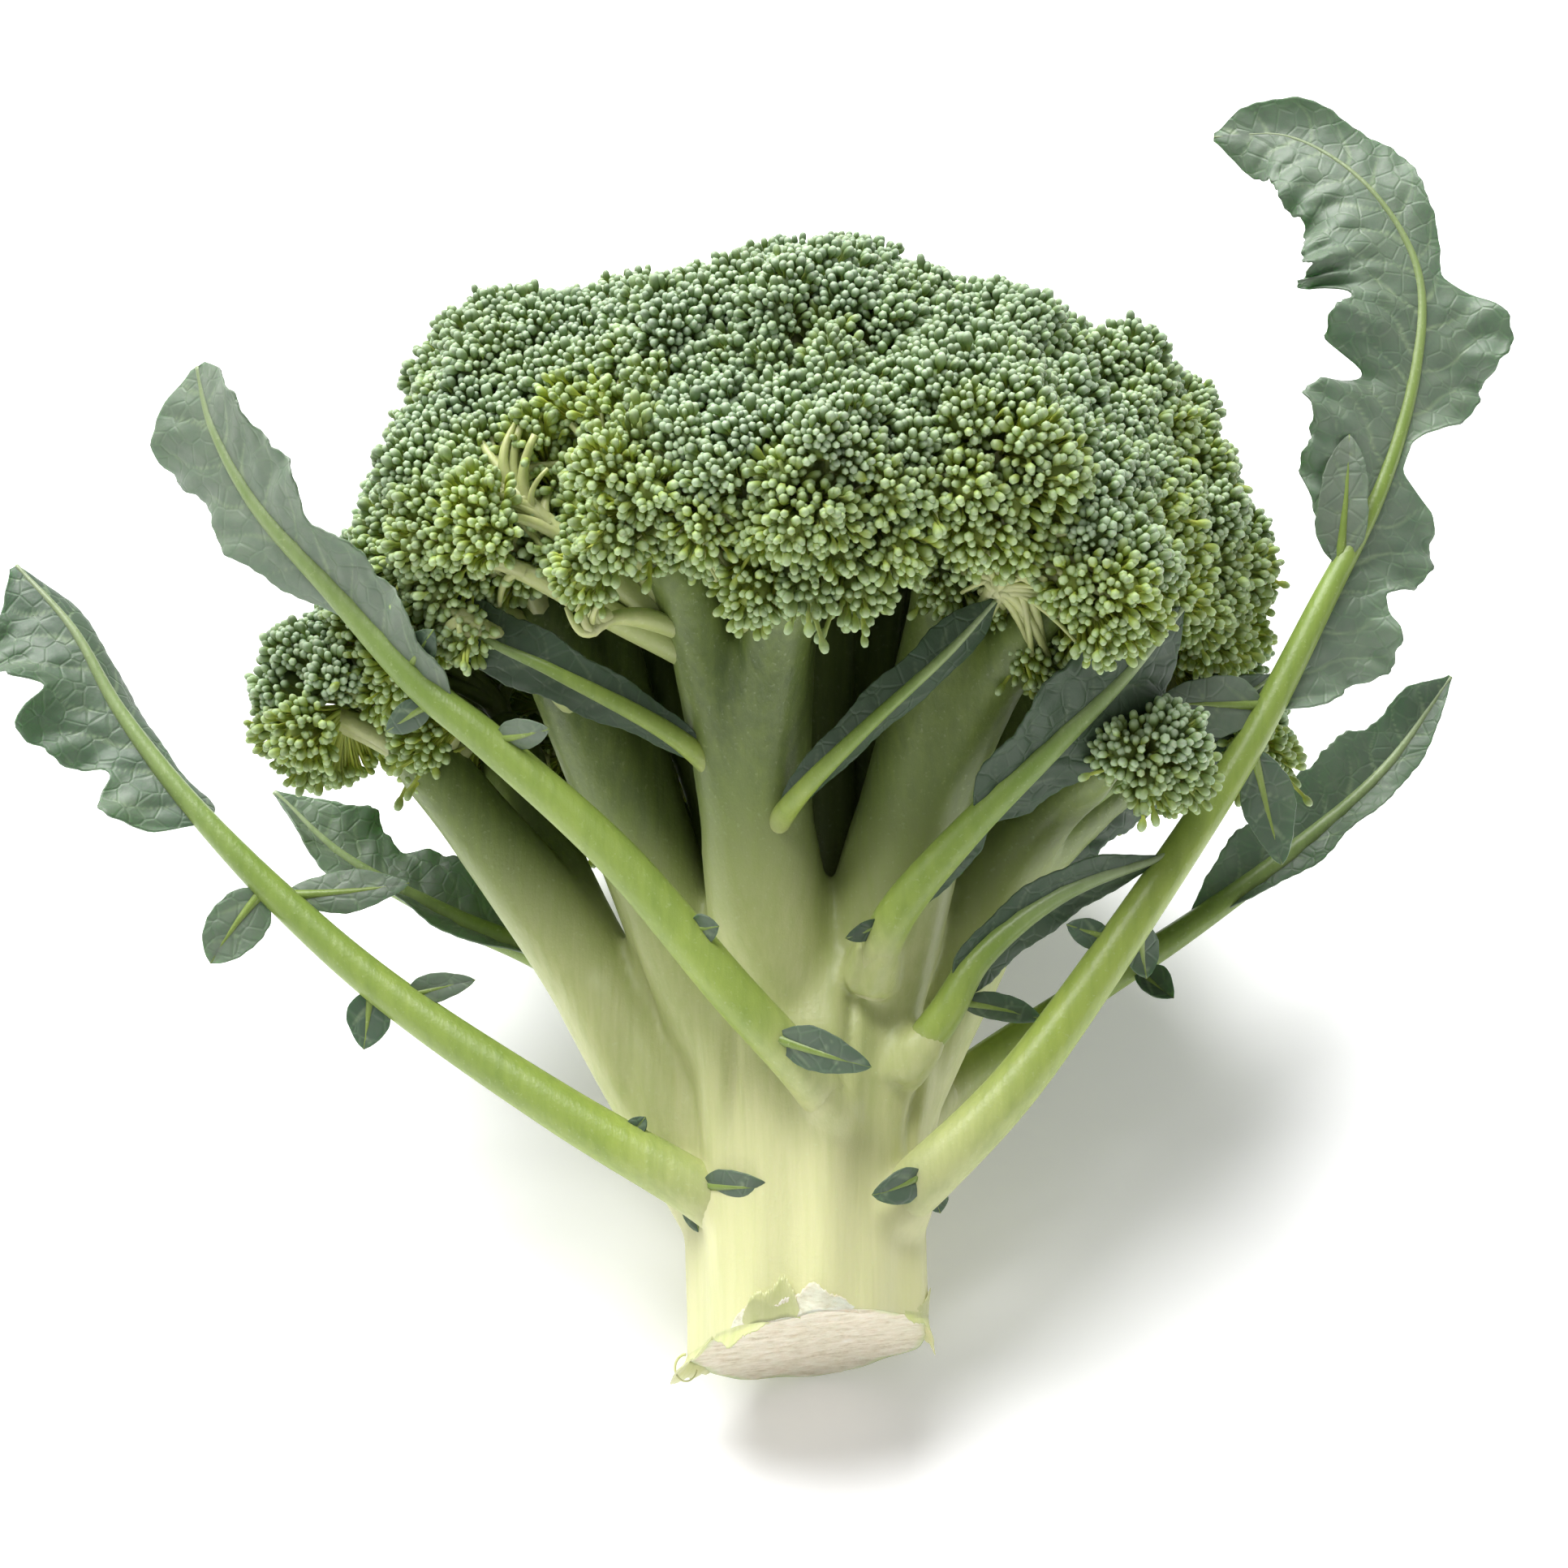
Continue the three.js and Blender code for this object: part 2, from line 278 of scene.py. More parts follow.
def set_tone(mesh, tones):
    """Writes a tone (three numbers a corner) where the materials read it."""
    tone = mesh.attributes.new("tone", "FLOAT_COLOR", "POINT")
    tone.data.foreach_set("color", np.hstack([tones, np.ones((len(tones), 1))]).astype(np.float32).ravel())


def settle(piece, slot, *nodes):
    """The piece rides on the one body and stands for CAD nodes, which it hides. slot is not used."""
    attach(piece, "root")
    if nodes:
        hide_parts(*nodes)
    return piece


# ---------------------------------------------------------------- materials


class Nodes:
    """A short way to write a material's node tree."""

    def __init__(self, name):
        self.material = bpy.data.materials.new(name)
        self.material.use_nodes = True
        self.tree = self.material.node_tree
        self.shader = self.tree.nodes["Principled BSDF"]

    def node(self, kind, inputs=(), **settings):
        made = self.tree.nodes.new(kind)
        for key, value in settings.items():
            setattr(made, key, value)
        for key, value in dict(inputs).items():
            self.put(made, key, value)
        return made

    def put(self, node, key, value):
        socket = node.inputs[key]
        if isinstance(value, bpy.types.NodeSocket):
            self.tree.links.new(value, socket)
        else:
            socket.default_value = value

    def noise(self, vector, scale, detail, rough=0.55):
        inputs = {"Vector": vector, "Scale": scale, "Detail": detail, "Roughness": rough}
        return self.node("ShaderNodeTexNoise", inputs).outputs["Fac"]

    def ramp(self, value, stops):
        """Colours or greys by value: stops are a place and a colour, or a place and one number."""
        made = self.node("ShaderNodeValToRGB", {"Fac": value})
        ramp = made.color_ramp
        while len(ramp.elements) < len(stops):
            ramp.elements.new(0.5)
        for element, (place, colour) in zip(ramp.elements, stops):
            element.position = place
            element.color = (*colour, 1) if len(colour) == 3 else (colour[0], colour[0], colour[0], 1)
        return made.outputs["Color"]

    def fade(self, value, low, high, first, last):
        """A grey that runs from first to last as a value goes from low to high."""
        return self.ramp(value, [(low, (first,)), (high, (last,))])

    def mix(self, amount, a, b, way="MIX"):
        made = self.node("ShaderNodeMix", data_type="RGBA", blend_type=way)
        for key, value in ((0, amount), (6, a), (7, b)):
            if isinstance(value, bpy.types.NodeSocket):
                self.tree.links.new(value, made.inputs[key])
            else:
                made.inputs[key].default_value = value if key == 0 else (*value, 1)
        return made.outputs[2]

    def tint(self, colour, value, low, high, most, other):
        """A colour drawn towards another as a value goes from low to high, by most at the end."""
        return self.mix(self.fade(value, low, high, 0, most), colour, other)

    def maths(self, way, a, b):
        made = self.node("ShaderNodeMath", operation=way)
        self.put(made, 0, a)
        self.put(made, 1, b)
        return made.outputs[0]

    def object_places(self):
        return self.node("ShaderNodeTexCoord").outputs["Object"]

    def along_plant(self, stretch):
        """The plant's own axes, in metres, with the length along the stalk shrunk to draw streaks."""
        inputs = {"Vector": self.object_places(), "Angle": math.pi / 2 - LIE_ANGLE}
        turned = self.node("ShaderNodeVectorRotate", inputs, rotation_type="X_AXIS")
        drawn = self.node("ShaderNodeMapping", {"Vector": turned.outputs[0], "Scale": (1, 1, stretch)})
        return drawn.outputs[0]

    def tone(self):
        """The three numbers that every corner carries."""
        found = self.node("ShaderNodeAttribute", attribute_name="tone")
        split = self.node("ShaderNodeSeparateColor", {"Color": found.outputs["Color"]})
        return [split.outputs[k] for k in ("Red", "Green", "Blue")]

    def bump(self, height, strength, distance):
        made = self.node("ShaderNodeBump", {"Height": height, "Strength": strength, "Distance": distance})
        self.put(self.shader, "Normal", made.outputs[0])

    def finish(self, colour, roughness, **constants):
        self.put(self.shader, "Base Color", colour)
        self.put(self.shader, "Roughness", roughness)
        for key, value in constants.items():
            self.put(self.shader, key.replace("_", " "), value)
        return self.material


# Bud colours from stem to tip, older and younger: a pale stem, then darker green lower sides, partly the
# buds' own green and partly painted shade between crowded buds, then a blue-green bloom on the tip.
OLD_BUD = [(0.0, (0.34, 0.40, 0.09)), (0.42, (0.27, 0.35, 0.07)), (0.64, (0.12, 0.20, 0.05)),
           (0.84, (0.22, 0.32, 0.17)), (1.0, (0.48, 0.59, 0.44))]
YOUNG_BUD = [(0.0, (0.50, 0.55, 0.13)), (0.45, (0.46, 0.52, 0.07)), (0.74, (0.30, 0.39, 0.07)),
             (1.0, (0.40, 0.52, 0.27))]
BUD_BRIGHTNESS = [(0.0, (0.74, 0.74, 0.74)), (1.0, (1.26, 1.26, 1.22))]


def bud_material():
    """Buds: yellow-green stems and sides, darker green lower sides that are partly painted shade between
    crowded buds, and a blue-green bloom on the tips.
    """
    n = Nodes("bud")
    along, chance, fresh = n.tone()
    places = n.object_places()
    colour = n.mix(fresh, n.ramp(along, OLD_BUD), n.ramp(along, YOUNG_BUD))
    patch = n.noise(places, 60, 2)
    colour = n.tint(colour, patch, 0.45, 0.75, 0.4, (0.26, 0.36, 0.24))
    colour = n.mix(1.0, colour, n.ramp(chance, BUD_BRIGHTNESS), "MULTIPLY")
    n.bump(n.noise(places, 2600, 2), 0.25, 0.0002)
    return n.finish(colour, n.fade(patch, 0.3, 0.7, 0.48, 0.62), Subsurface_Weight=0.08,
                    Subsurface_Scale=0.001, Specular_IOR_Level=0.4)


# Stalk colours by height: pale at the cut and greener higher up, its own colour; the dark olive at the top is
# painted shade that the crown casts on the branches.
STEM_COLOURS = [(0.1, (0.65, 0.64, 0.35)), (0.54, (0.50, 0.53, 0.24)), (0.82, (0.18, 0.23, 0.08)),
                (0.96, (0.09, 0.13, 0.035))]
LEAF_STEM_COLOURS = [(0.08, (0.60, 0.61, 0.30)), (0.2, (0.35, 0.44, 0.09)), (0.55, (0.21, 0.30, 0.06)),
                     (0.9, (0.32, 0.40, 0.22))]


def stem_material(name, stops, dark):
    """Stalk and branches: waxy pale green with fine lengthwise streaks, greener away from the cut; on the
    stalk the ramp also paints the crown's shade as dark olive near the crown.
    """
    n = Nodes(name)
    height = n.tone()[0]
    streaks = n.noise(n.along_plant(0.07), 700, 4)
    broad = n.noise(n.along_plant(0.25), 60, 3)
    grown = n.fade(height, 0.03, 0.25, 0.4, 1)
    fine = n.maths("MULTIPLY", n.fade(streaks, 0.38, 0.75, 0, 0.34), grown)
    wide = n.maths("MULTIPLY", n.fade(broad, 0.35, 0.75, 0, 0.45), grown)
    colour = n.mix(wide, n.mix(fine, n.ramp(height, stops), dark), dark)
    speck = n.noise(n.object_places(), 1500, 2)
    colour = n.tint(colour, speck, 0.62, 0.8, 0.25, (0.62, 0.70, 0.42))
    n.bump(n.maths("ADD", streaks, n.maths("MULTIPLY", speck, 0.4)), 0.22, 0.0006)
    return n.finish(colour, n.fade(broad, 0.3, 0.7, 0.34, 0.46), Subsurface_Weight=0.18,
                    Subsurface_Radius=(0.7, 1.0, 0.3), Subsurface_Scale=0.004, Specular_IOR_Level=0.5)


LEAF_TOP = [(0.25, (0.05, 0.085, 0.055)), (0.55, (0.09, 0.13, 0.085)), (0.8, (0.15, 0.19, 0.13))]
LEAF_UNDERSIDE = [(0.25, (0.15, 0.19, 0.13)), (0.75, (0.27, 0.32, 0.25))]


def leaf_material():
    """Leaf blades: blue-green with a pale bloom, paler veins from the mesh, a fine net of veins, and painted
    shade that darkens the blades lying under the crown.
    """
    n = Nodes("leaf_blade")
    vein, under, deep = n.tone()
    places = n.object_places()
    broad = n.noise(places, 45, 3)
    colour = n.mix(under, n.ramp(broad, LEAF_TOP), n.ramp(broad, LEAF_UNDERSIDE))
    net = n.node("ShaderNodeTexVoronoi", {"Vector": places, "Scale": 330}, feature="DISTANCE_TO_EDGE")
    line = n.fade(net.outputs["Distance"], 0.0, 0.09, 1, 0)
    colour = n.mix(n.maths("MULTIPLY", line, 0.28), colour, (0.19, 0.26, 0.16))
    colour = n.tint(colour, vein, 0.15, 0.8, 0.85, (0.29, 0.37, 0.22))
    mottle = n.noise(places, 400, 3)
    colour = n.tint(colour, mottle, 0.4, 0.75, 0.3, (0.05, 0.11, 0.07))
    # painted shade: the deep tone darkens blades that lie in the crown's shadow
    colour = n.mix(n.maths("MULTIPLY", deep, 0.8), colour, (0.025, 0.05, 0.02))
    n.bump(n.maths("SUBTRACT", mottle, n.maths("MULTIPLY", line, 0.6)), 0.3, 0.0005)
    return n.finish(colour, n.fade(mottle, 0.3, 0.7, 0.42, 0.58), Subsurface_Weight=0.12,
                    Subsurface_Radius=(0.4, 1.0, 0.3), Subsurface_Scale=0.002, Specular_IOR_Level=0.45)


FLESH_COLOURS = [(0.3, (0.50, 0.43, 0.29)), (0.45, (0.66, 0.60, 0.45)), (0.62, (0.76, 0.71, 0.57)),
                 (0.8, (0.83, 0.80, 0.70))]


def cut_material():
    """The cut face: cream fibrous flesh with a green rind at its rim."""
    n = Nodes("cut_flesh")
    rim = n.tone()[0]
    inputs = {"Vector": n.object_places(), "Scale": (0.35, 1, 1), "Rotation": (0, 0, 0.3)}
    strands = n.noise(n.node("ShaderNodeMapping", inputs).outputs[0], 900, 5, 0.7)
    colour = n.tint(n.ramp(strands, FLESH_COLOURS), rim, 0.93, 1.0, 0.8, (0.52, 0.58, 0.24))
    n.bump(strands, 0.35, 0.0004)
    return n.finish(colour, 0.6, Subsurface_Weight=0.2, Subsurface_Scale=0.003)


BUD = bud_material()
STEM = stem_material("stem", STEM_COLOURS, (0.28, 0.36, 0.08))
PETIOLE = stem_material("leaf_stem", LEAF_STEM_COLOURS, (0.11, 0.19, 0.03))
BLADE = leaf_material()
FLESH = cut_material()


# ---------------------------------------------------------------- the florets

CLUSTER_SPACING = 6.9  # how far apart the balls of buds are, mm
CLUSTER_RADIUS = 4.7
CLUSTER_DEPTH = 0.68 * CLUSTER_RADIUS  # about how far under the crown's skin its middle lies, mm
HEAD_SHRINK = 2.0  # how far inside the CAD heads' balls the crown's skin starts, mm
BLEND = 4.5  # how softly neighbouring heads run together, mm
VALLEY = 5.2  # how deep the valleys between heads are, mm
SIDE_VALLEY = 16  # how much deeper they are round the crown's lower edge, mm
VALLEY_SPREAD = math.radians(21)  # how far round the crown a head's reach is felt
SKIN_SOFTNESS = 2.5  # how softly the heads run into the crown between them, mm
SKIN_DROP = 0.6  # how much of what that softness adds is taken off again, mm
NOTHING = -99  # a depth for places where there is no crown
SHELL = 24  # how thick the crown is between its heads, mm
# Gaps in the crown's front where the fans of stems show: middle x, y, z and radius.
OPENINGS = np.array([(-34, -51, 110, 13.0), (-44, -44, 97, 9.0), (-20, -57, 101, 6.5),
                     (29, -51, 93, 7.5), (46, -39, 106, 5.5)])
OPENING_DEPTH = 8.5  # how far the clusters in a gap lie under the crown's skin, mm
# Bare pale boughs seen in those gaps: the floret whose branch bears each, where along that branch it
# leaves, its bend, its end, and its radius at both ends.
BOUGHS = [
    (4, 0.72, (-26, -46, 100), (-29, -53, 119), 3.0, 1.5),
    (4, 0.66, (-30, -46, 100), (-44, -49, 113), 2.6, 1.2),
    (4, 0.6, (-31, -45, 96), (-50, -46, 105), 2.6, 1.2),
    (3, 0.6, (-40, -36, 92), (-51, -42, 96), 2.6, 1.1),
    (5, 0.66, (-14, -50, 98), (-19, -58, 107), 2.4, 1.1),
    (4, 0.66, (-27, -48, 96), (-31, -50, 90), 1.8, 0.9),
    (6, 0.62, (24, -44, 92), (27, -53, 99), 2.4, 1.3),
    (8, 0.7, (38, -42, 94), (44, -42, 107), 2.4, 1.2),
]
HEAD_EDGE = math.radians(100)  # how far the skin that bears clusters turns from a head's outward way
KNOT_SPACING = 2.7  # the small knots of five or six buds that a cluster is made of
BUD_SPACING = 1.3
BUD_RADIUS = 0.69
BUD_SIDES = 6
LOW_SIDE = 0.12  # a unit vector from the crown's middle that rises less than this is on its lower part
FLORETS = sorted(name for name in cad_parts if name.startswith("floret_"))
# A bud from its neck to its tip: height and radius, as parts of its own radius.
BUD_OUTLINE = np.array([[-1.35, 0.42], [-0.75, 0.78], [0.1, 1.0], [0.85, 0.84], [1.3, 0.46]])
BUD_TONES = np.array([0.48, 0.6, 0.74, 0.88, 0.97])
# The flared flesh under a cluster: heights and widths as parts of the cluster's radius, and its tone.
CONE_HEIGHTS = np.array([-1.0, -0.75, -0.45, -0.1, 0.25, 0.5, 0.7])
CONE_WIDTHS = np.array([0.16, 0.24, 0.42, 0.64, 0.7, 0.52, 0.26])
CONE_TONES = np.array([0.1, 0.2, 0.35, 0.5, 0.6, 0.62, 0.62])
# A stray bud's long stem: places along it, widths as parts of the bud's radius, and its tone.
STRAY_PLACES = np.array([0, 0.2, 0.4, 0.6, 0.8, 0.93])
STRAY_WIDTHS = np.array([0.8, 0.66, 0.58, 0.52, 0.47, 0.44])
STRAY_TONES = np.array([0.0, 0.06, 0.12, 0.2, 0.28, 0.36])


def fit_head(node):
    """Centre and radius of the ball that the outer points of a floret's CAD head lie on."""
    points = to_plant(mesh_corners(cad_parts[node].data))
    distance = np.linalg.norm(points - FORK, axis=1)
    kept = points[distance > 0.8 * distance.max()]
    for _ in range(12):
        system = np.hstack([2 * kept, np.ones((len(kept), 1))])
        answer = np.linalg.lstsq(system, np.sum(kept**2, 1), rcond=None)[0]
        centre = answer[:3]
        radius = math.sqrt(answer[3] + centre @ centre)
        off = np.abs(np.linalg.norm(points - centre, axis=1) - radius)
        kept = points[off < max(0.35, np.sort(off)[len(off) // 3])]
    return centre, radius


HEADS = {name: fit_head(name) for name in FLORETS}
CENTRES = np.array([HEADS[name][0] for name in FLORETS])
RADII = np.array([HEADS[name][1] for name in FLORETS])
HEAD_ROOT = np.array([0.0, 0.0, 62.0])  # the heads face away from here
HEAD_WAYS = unit(CENTRES - CROWN_MIDDLE)
HEAD_REACH = np.linalg.norm(CENTRES - CROWN_MIDDLE, axis=1) + RADII
HEAD_OUTWARD = unit(CENTRES - HEAD_ROOT)

# The limbs that the stalk forks into: a point on the way, the limb's radius and the florets it bears.
LIMBS = [
    ((-8, -22, 70), 8.5, (1, 4, 5, 11)),
    ((15, -20, 72), 8.5, (6, 8, 12)),
    ((-33, 0, 52), 7.5, (10, 28)),
    ((-22, -8, 62), 7.5, (2, 3, 23)),
    ((25, -4, 62), 8.0, (7, 9, 13, 14)),
]


def limb_of(index):
    """The point and the radius of the limb that bears a floret, if a limb does."""
    for way, radius, borne in LIMBS:
        if index + 1 in borne:
            return np.array(way, float), radius
    return None, None


def branch_path(index, count=9):
    """A floret's branch, from inside the stalk to below its head, and its radius along the way."""
    centre, radius = CENTRES[index], RADII[index]
    outward = unit(centre - FORK)
    end = centre - 0.34 * radius * unit(centre - CROWN_MIDDLE) - 0.1 * radius * outward
    way, wide = limb_of(index)
    if way is None:
        low = np.clip(FORK[2] - 0.35 * max(0, 75 - centre[2]), 14, 40)
        start = np.array([0.1 * centre[0], 0.1 * centre[1], low])
        bend = start + (end - start) * 0.45 + np.array([0, 0, 5.0])
        stops, radii = [start, bend, end], [0.38 * radius, 0.31 * radius, 0.3 * radius]
    else:
        start = np.array([0.3 * way[0], 0.3 * way[1], way[2] - 38])
        mid = 0.5 * (way + end) + 0.12 * np.linalg.norm(end - way) * unit(way - start)
        stops = [start, way, mid, end]
        radii = [wide * 1.05, wide, 0.36 * radius, 0.32 * radius]
    place = np.linspace(0, 1, count)
    return spline(stops, count), np.interp(place, np.linspace(0, 1, len(radii)), radii)


def crown_depth(points):
    """How deep points lie under the crown's skin, where heads run together, and whose head is nearest."""
    gaps = np.linalg.norm(points[:, None] - CENTRES[None], axis=2) - (RADII - HEAD_SHRINK)
    heads = BLEND * np.log(np.exp(-gaps / BLEND).sum(1))
    away = np.linalg.norm(points - CROWN_MIDDLE, axis=1)
    angle = np.arccos(np.clip(unit(points - CROWN_MIDDLE) @ HEAD_WAYS.T, -1, 1))
    weight = np.exp(-((angle / VALLEY_SPREAD) ** 2))
    side = smooth_step(-unit(points - CROWN_MIDDLE)[:, 2], -0.22, 0.12)
    filled = (weight @ HEAD_REACH) / weight.sum(1) - VALLEY - SIDE_VALLEY * side - HEAD_SHRINK - away
    filled = np.where(weight.sum(1) > 0.75, filled, NOTHING)
    filled = np.where(filled < SHELL, filled, NOTHING)
    blend = SKIN_SOFTNESS * np.log1p(np.exp(-np.abs(heads - filled) / SKIN_SOFTNESS))
    return np.maximum(heads, filled) + blend - SKIN_DROP, gaps.argmin(1)


def on_skin(starts, ways, steps, wanted, inwards=False):
    """Where rays cross the crown's skin, a wanted depth under it; a ray that doesn't gives not-a-number."""
    found = np.full(ways.shape, np.nan)
    for step in steps:
        points = starts + ways * step
        deep = crown_depth(points)[0] > wanted
        reached = np.isnan(found[:, 0]) & (deep == inwards)
        found[reached] = points[reached]
    return found


def cluster_candidates(rng):
    """Spots on the crown's skin where a cluster could sit: over the whole crown, then head by head."""
    from_middle = dict(starts=CROWN_MIDDLE, inwards=True)
    ways = cap_directions((0, 0, 1), int(spots_on_ball(72, CLUSTER_SPACING)), math.radians(112))
    ways = unit(ways + rng.normal(0, 0.022, ways.shape))
    wanted = CLUSTER_DEPTH * rng.uniform(0.45, 1.55, len(ways))
    sets = [on_skin(ways=ways, steps=np.arange(96, 36, -0.45), wanted=wanted, **from_middle)]
    for centre, radius, outward in zip(CENTRES, RADII, HEAD_OUTWARD):
        count = max(14, int(spots_on_ball(radius, CLUSTER_SPACING, 0.8)))
        ways = cap_directions(outward, count, HEAD_EDGE + 0.2, rng.uniform(0, TURN))
        sets.append(on_skin(centre, ways, np.arange(0.5 * radius, 1.3 * radius, 0.45), CLUSTER_DEPTH))
    ways = cap_directions((0.3, 0.1, 1), 4500, math.radians(118))
    steps = np.arange(96, 36, -0.6)
    sets.append(on_skin(ways=ways, steps=steps, wanted=0.75 * CLUSTER_RADIUS, **from_middle))
    candidates = np.concatenate(sets)
    return candidates[~np.isnan(candidates[:, 0])]


def place_clusters():
    """Where the clusters of buds sit: middles, outward directions, radii and whose head bears each."""
    rng = np.random.default_rng(11)
    candidates = cluster_candidates(rng)
    owner = crown_depth(candidates)[1]
    slope = [crown_depth(candidates - k)[0] - crown_depth(candidates + k)[0] for k in np.eye(3)]
    ways = unit(np.stack(slope, 1))
    facing = np.sum(ways * HEAD_OUTWARD[owner], 1) > math.cos(HEAD_EDGE)
    sunk = open_gap(candidates) < 0
    candidates = candidates - np.where(sunk, OPENING_DEPTH, 0)[:, None] * ways
    low = unit(candidates - CROWN_MIDDLE)[:, 2] < LOW_SIDE
    loose = np.linalg.norm(candidates[:, None] - CENTRES[None], axis=2) - RADII
    facing &= ~(low & (loose.min(1) > 1.0))
    candidates, owner, ways = candidates[facing], owner[facing], ways[facing]
    kept = []
    for k, candidate in enumerate(candidates):
        apart = np.linalg.norm(candidates[kept] - candidate, axis=1)
        if not kept or np.min(apart) > 0.77 * CLUSTER_SPACING:
            kept.append(k)
    places, owner, ways = candidates[kept], owner[kept], ways[kept]
    ways = unit(ways + 0.25 * unit(places - CENTRES[owner]))
    size = CLUSTER_RADIUS * rng.uniform(0.86, 1.14, len(places))
    return places, ways, size, owner


def knotted(dirs, way, size, rng):
    """Buds drawn together into small knots: directions, how far each stands out in mm, and its knot."""
    count = max(4, int(spots_on_ball(size, KNOT_SPACING)))
    knots = cap_directions(way, count, math.radians(110), rng.uniform(0, TURN))
    knots = unit(knots + rng.normal(0, 0.12, knots.shape))
    nearest = (dirs @ knots.T).argmax(1)
    middle = knots[nearest]
    apart = np.linalg.norm(dirs - middle, axis=1) * size
    high = rng.uniform(-0.35, 0.45, len(knots))[nearest]
    return unit(0.85 * dirs + 0.15 * middle), high + 0.6 - 1.25 * (apart / (0.5 * KNOT_SPACING)) ** 2, middle


def open_gap(points):
    """How far each point is outside the nearest of the crown's openings, in mm."""
    away = np.linalg.norm(points[..., None, :] - OPENINGS[:, :3], axis=-1)
    return (away - OPENINGS[:, 3]).min(-1)


def rim_share(places, ways):
    """How much each place belongs to the crown's lower rim, from 0 to 1: where its skin turns under."""
    turned = 1 - smooth_step(ways[..., 2], -0.35, 0.3)
    near_gap = 1 - smooth_step(open_gap(places), 3, 8)
    return np.maximum(turned, near_gap)


def cluster_buds(place, way, size, all_places, all_sizes, rng):
    """The buds of one cluster: spots, aims, roots, brightness, freshness and which have long stems."""
    rim = rim_share(place, way)
    count = int(spots_on_ball(size, BUD_SPACING) * (1 - 0.15 * rim))
    dirs = cap_directions(way, count, math.radians(88 + 10 * rim), rng.uniform(0, TURN))
    dirs = unit(dirs + rng.normal(0, 0.04 + 0.05 * rim, dirs.shape))
    dirs, stand, knot = knotted(dirs, way, size, rng)
    reach = size + np.clip(stand, -1.1, 1.1) + rng.normal(0, 0.15 + 0.35 * rim, len(dirs))
    points = place + dirs * reach[:, None]
    near = np.linalg.norm(all_places - place, axis=1)
    near = np.where((near < 2.3 * CLUSTER_RADIUS) & (near > 1e-6))[0]
    gaps = np.linalg.norm(points[:, None] - all_places[near][None], axis=2) - all_sizes[near]
    keep = (gaps > -0.45).all(1)
    points, dirs, knot = points[keep], dirs[keep], knot[keep]
    if not len(points):
        return None
    aims = unit(1.1 * dirs - 0.35 * knot + 0.3 * way + rng.normal(0, 0.12, dirs.shape))
    roots = place - (0.9 + 0.9 * rim) * size * way + knot * 0.12 * size
    chance = np.clip(rng.normal(0.5, 0.22, len(points)), 0, 1)
    lean = np.arccos(np.clip(dirs @ way, -1, 1))
    fresh = 0.8 * rim + 0.25 * rng.random() + 0.45 * smooth_step(lean, 0.9, 1.5) * (0.3 + 0.7 * rim)
    return points, aims, roots, chance, np.clip(fresh, 0, 1), (lean > 0.85) | (rim > 0.15)


def add_clusters(skin, all_places, all_sizes, own, rng):
    """The buds of one floret on their small stems."""
    found = [cluster_buds(*cluster, all_places, all_sizes, rng) for cluster in zip(*own)]
    columns = zip(*(buds for buds in found if buds is not None))
    spots, aims, roots, chance, fresh, longs = (np.concatenate(column) for column in columns)
    scale = BUD_RADIUS * np.clip(rng.normal(0.93, 0.13, len(spots)), 0.62, 1.25)
    tall = rng.uniform(0.9, 1.25, len(spots)) * scale
    heads = spots[:, None] + aims[:, None] * (BUD_OUTLINE[:, 0] * tall[:, None])[..., None]
    head_radii = BUD_OUTLINE[:, 1] * scale[:, None]
    for chosen, curved in ((~longs, False), (longs, True)):
        if not chosen.any():
            continue
        neck = heads[chosen, 0]
        if curved:
            bend = 0.4 * roots[chosen] + 0.6 * neck - aims[chosen] * 1.0
            stem = bezier(roots[chosen], bend, neck, np.array([0.0, 0.35, 0.72]))
            thin = np.stack([0.52 * scale[chosen], 0.4 * scale[chosen], 0.36 * scale[chosen]], 1)
            stem_tone = np.array([0.0, 0.15, 0.34])
        else:
            stem = (neck - aims[chosen] * 1.5)[:, None]
            thin = 0.4 * scale[chosen][:, None]
            stem_tone = np.array([0.25])
        radii = np.concatenate([thin, head_radii[chosen]], 1)
        tones = tone_of(radii.shape, np.concatenate([stem_tone, BUD_TONES]), chance[chosen][:, None],
                        fresh[chosen][:, None])
        skin.tubes(np.concatenate([stem, heads[chosen]], 1), radii, BUD_SIDES, tones, 0)


def add_strays(skin, own, rng):
    """Single buds on long thin stems that hang from the lower edge of a head."""
    places, ways, sizes = own
    rim = np.where(rim_share(places, ways) > 0.3)[0]
    if not len(rim):
        return
    chosen = rng.choice(rim, size=min(26, 4 * len(rim)), replace=True)
    size, way = sizes[chosen, None], ways[chosen]
    down = np.array([0, 0, -1.0])
    column = (len(chosen), 1)
    roots = places[chosen] - 1.5 * size * way
    aims = unit(0.55 * way + 0.8 * down + rng.normal(0, 0.4, (len(chosen), 3)))
    tips = roots + way * rng.uniform(3, 8, column) + aims * rng.uniform(4, 9, column)
    bends = roots + way * rng.uniform(2, 6, column) + rng.normal(0, 0.9, tips.shape)
    scale = BUD_RADIUS * rng.uniform(0.85, 1.15, len(chosen))
    heads = tips[:, None] + aims[:, None] * (BUD_OUTLINE[:, 0] * 1.15 * scale[:, None])[..., None]
    stem = bezier(roots, bends, heads[:, 0], STRAY_PLACES)
    radii = scale[:, None] * np.concatenate([STRAY_WIDTHS, BUD_OUTLINE[:, 1]])
    tones = tone_of(radii.shape, np.concatenate([STRAY_TONES, BUD_TONES]), 0.6, 0.8)
    skin.tubes(np.concatenate([stem, heads], 1), radii, BUD_SIDES, tones, 0)


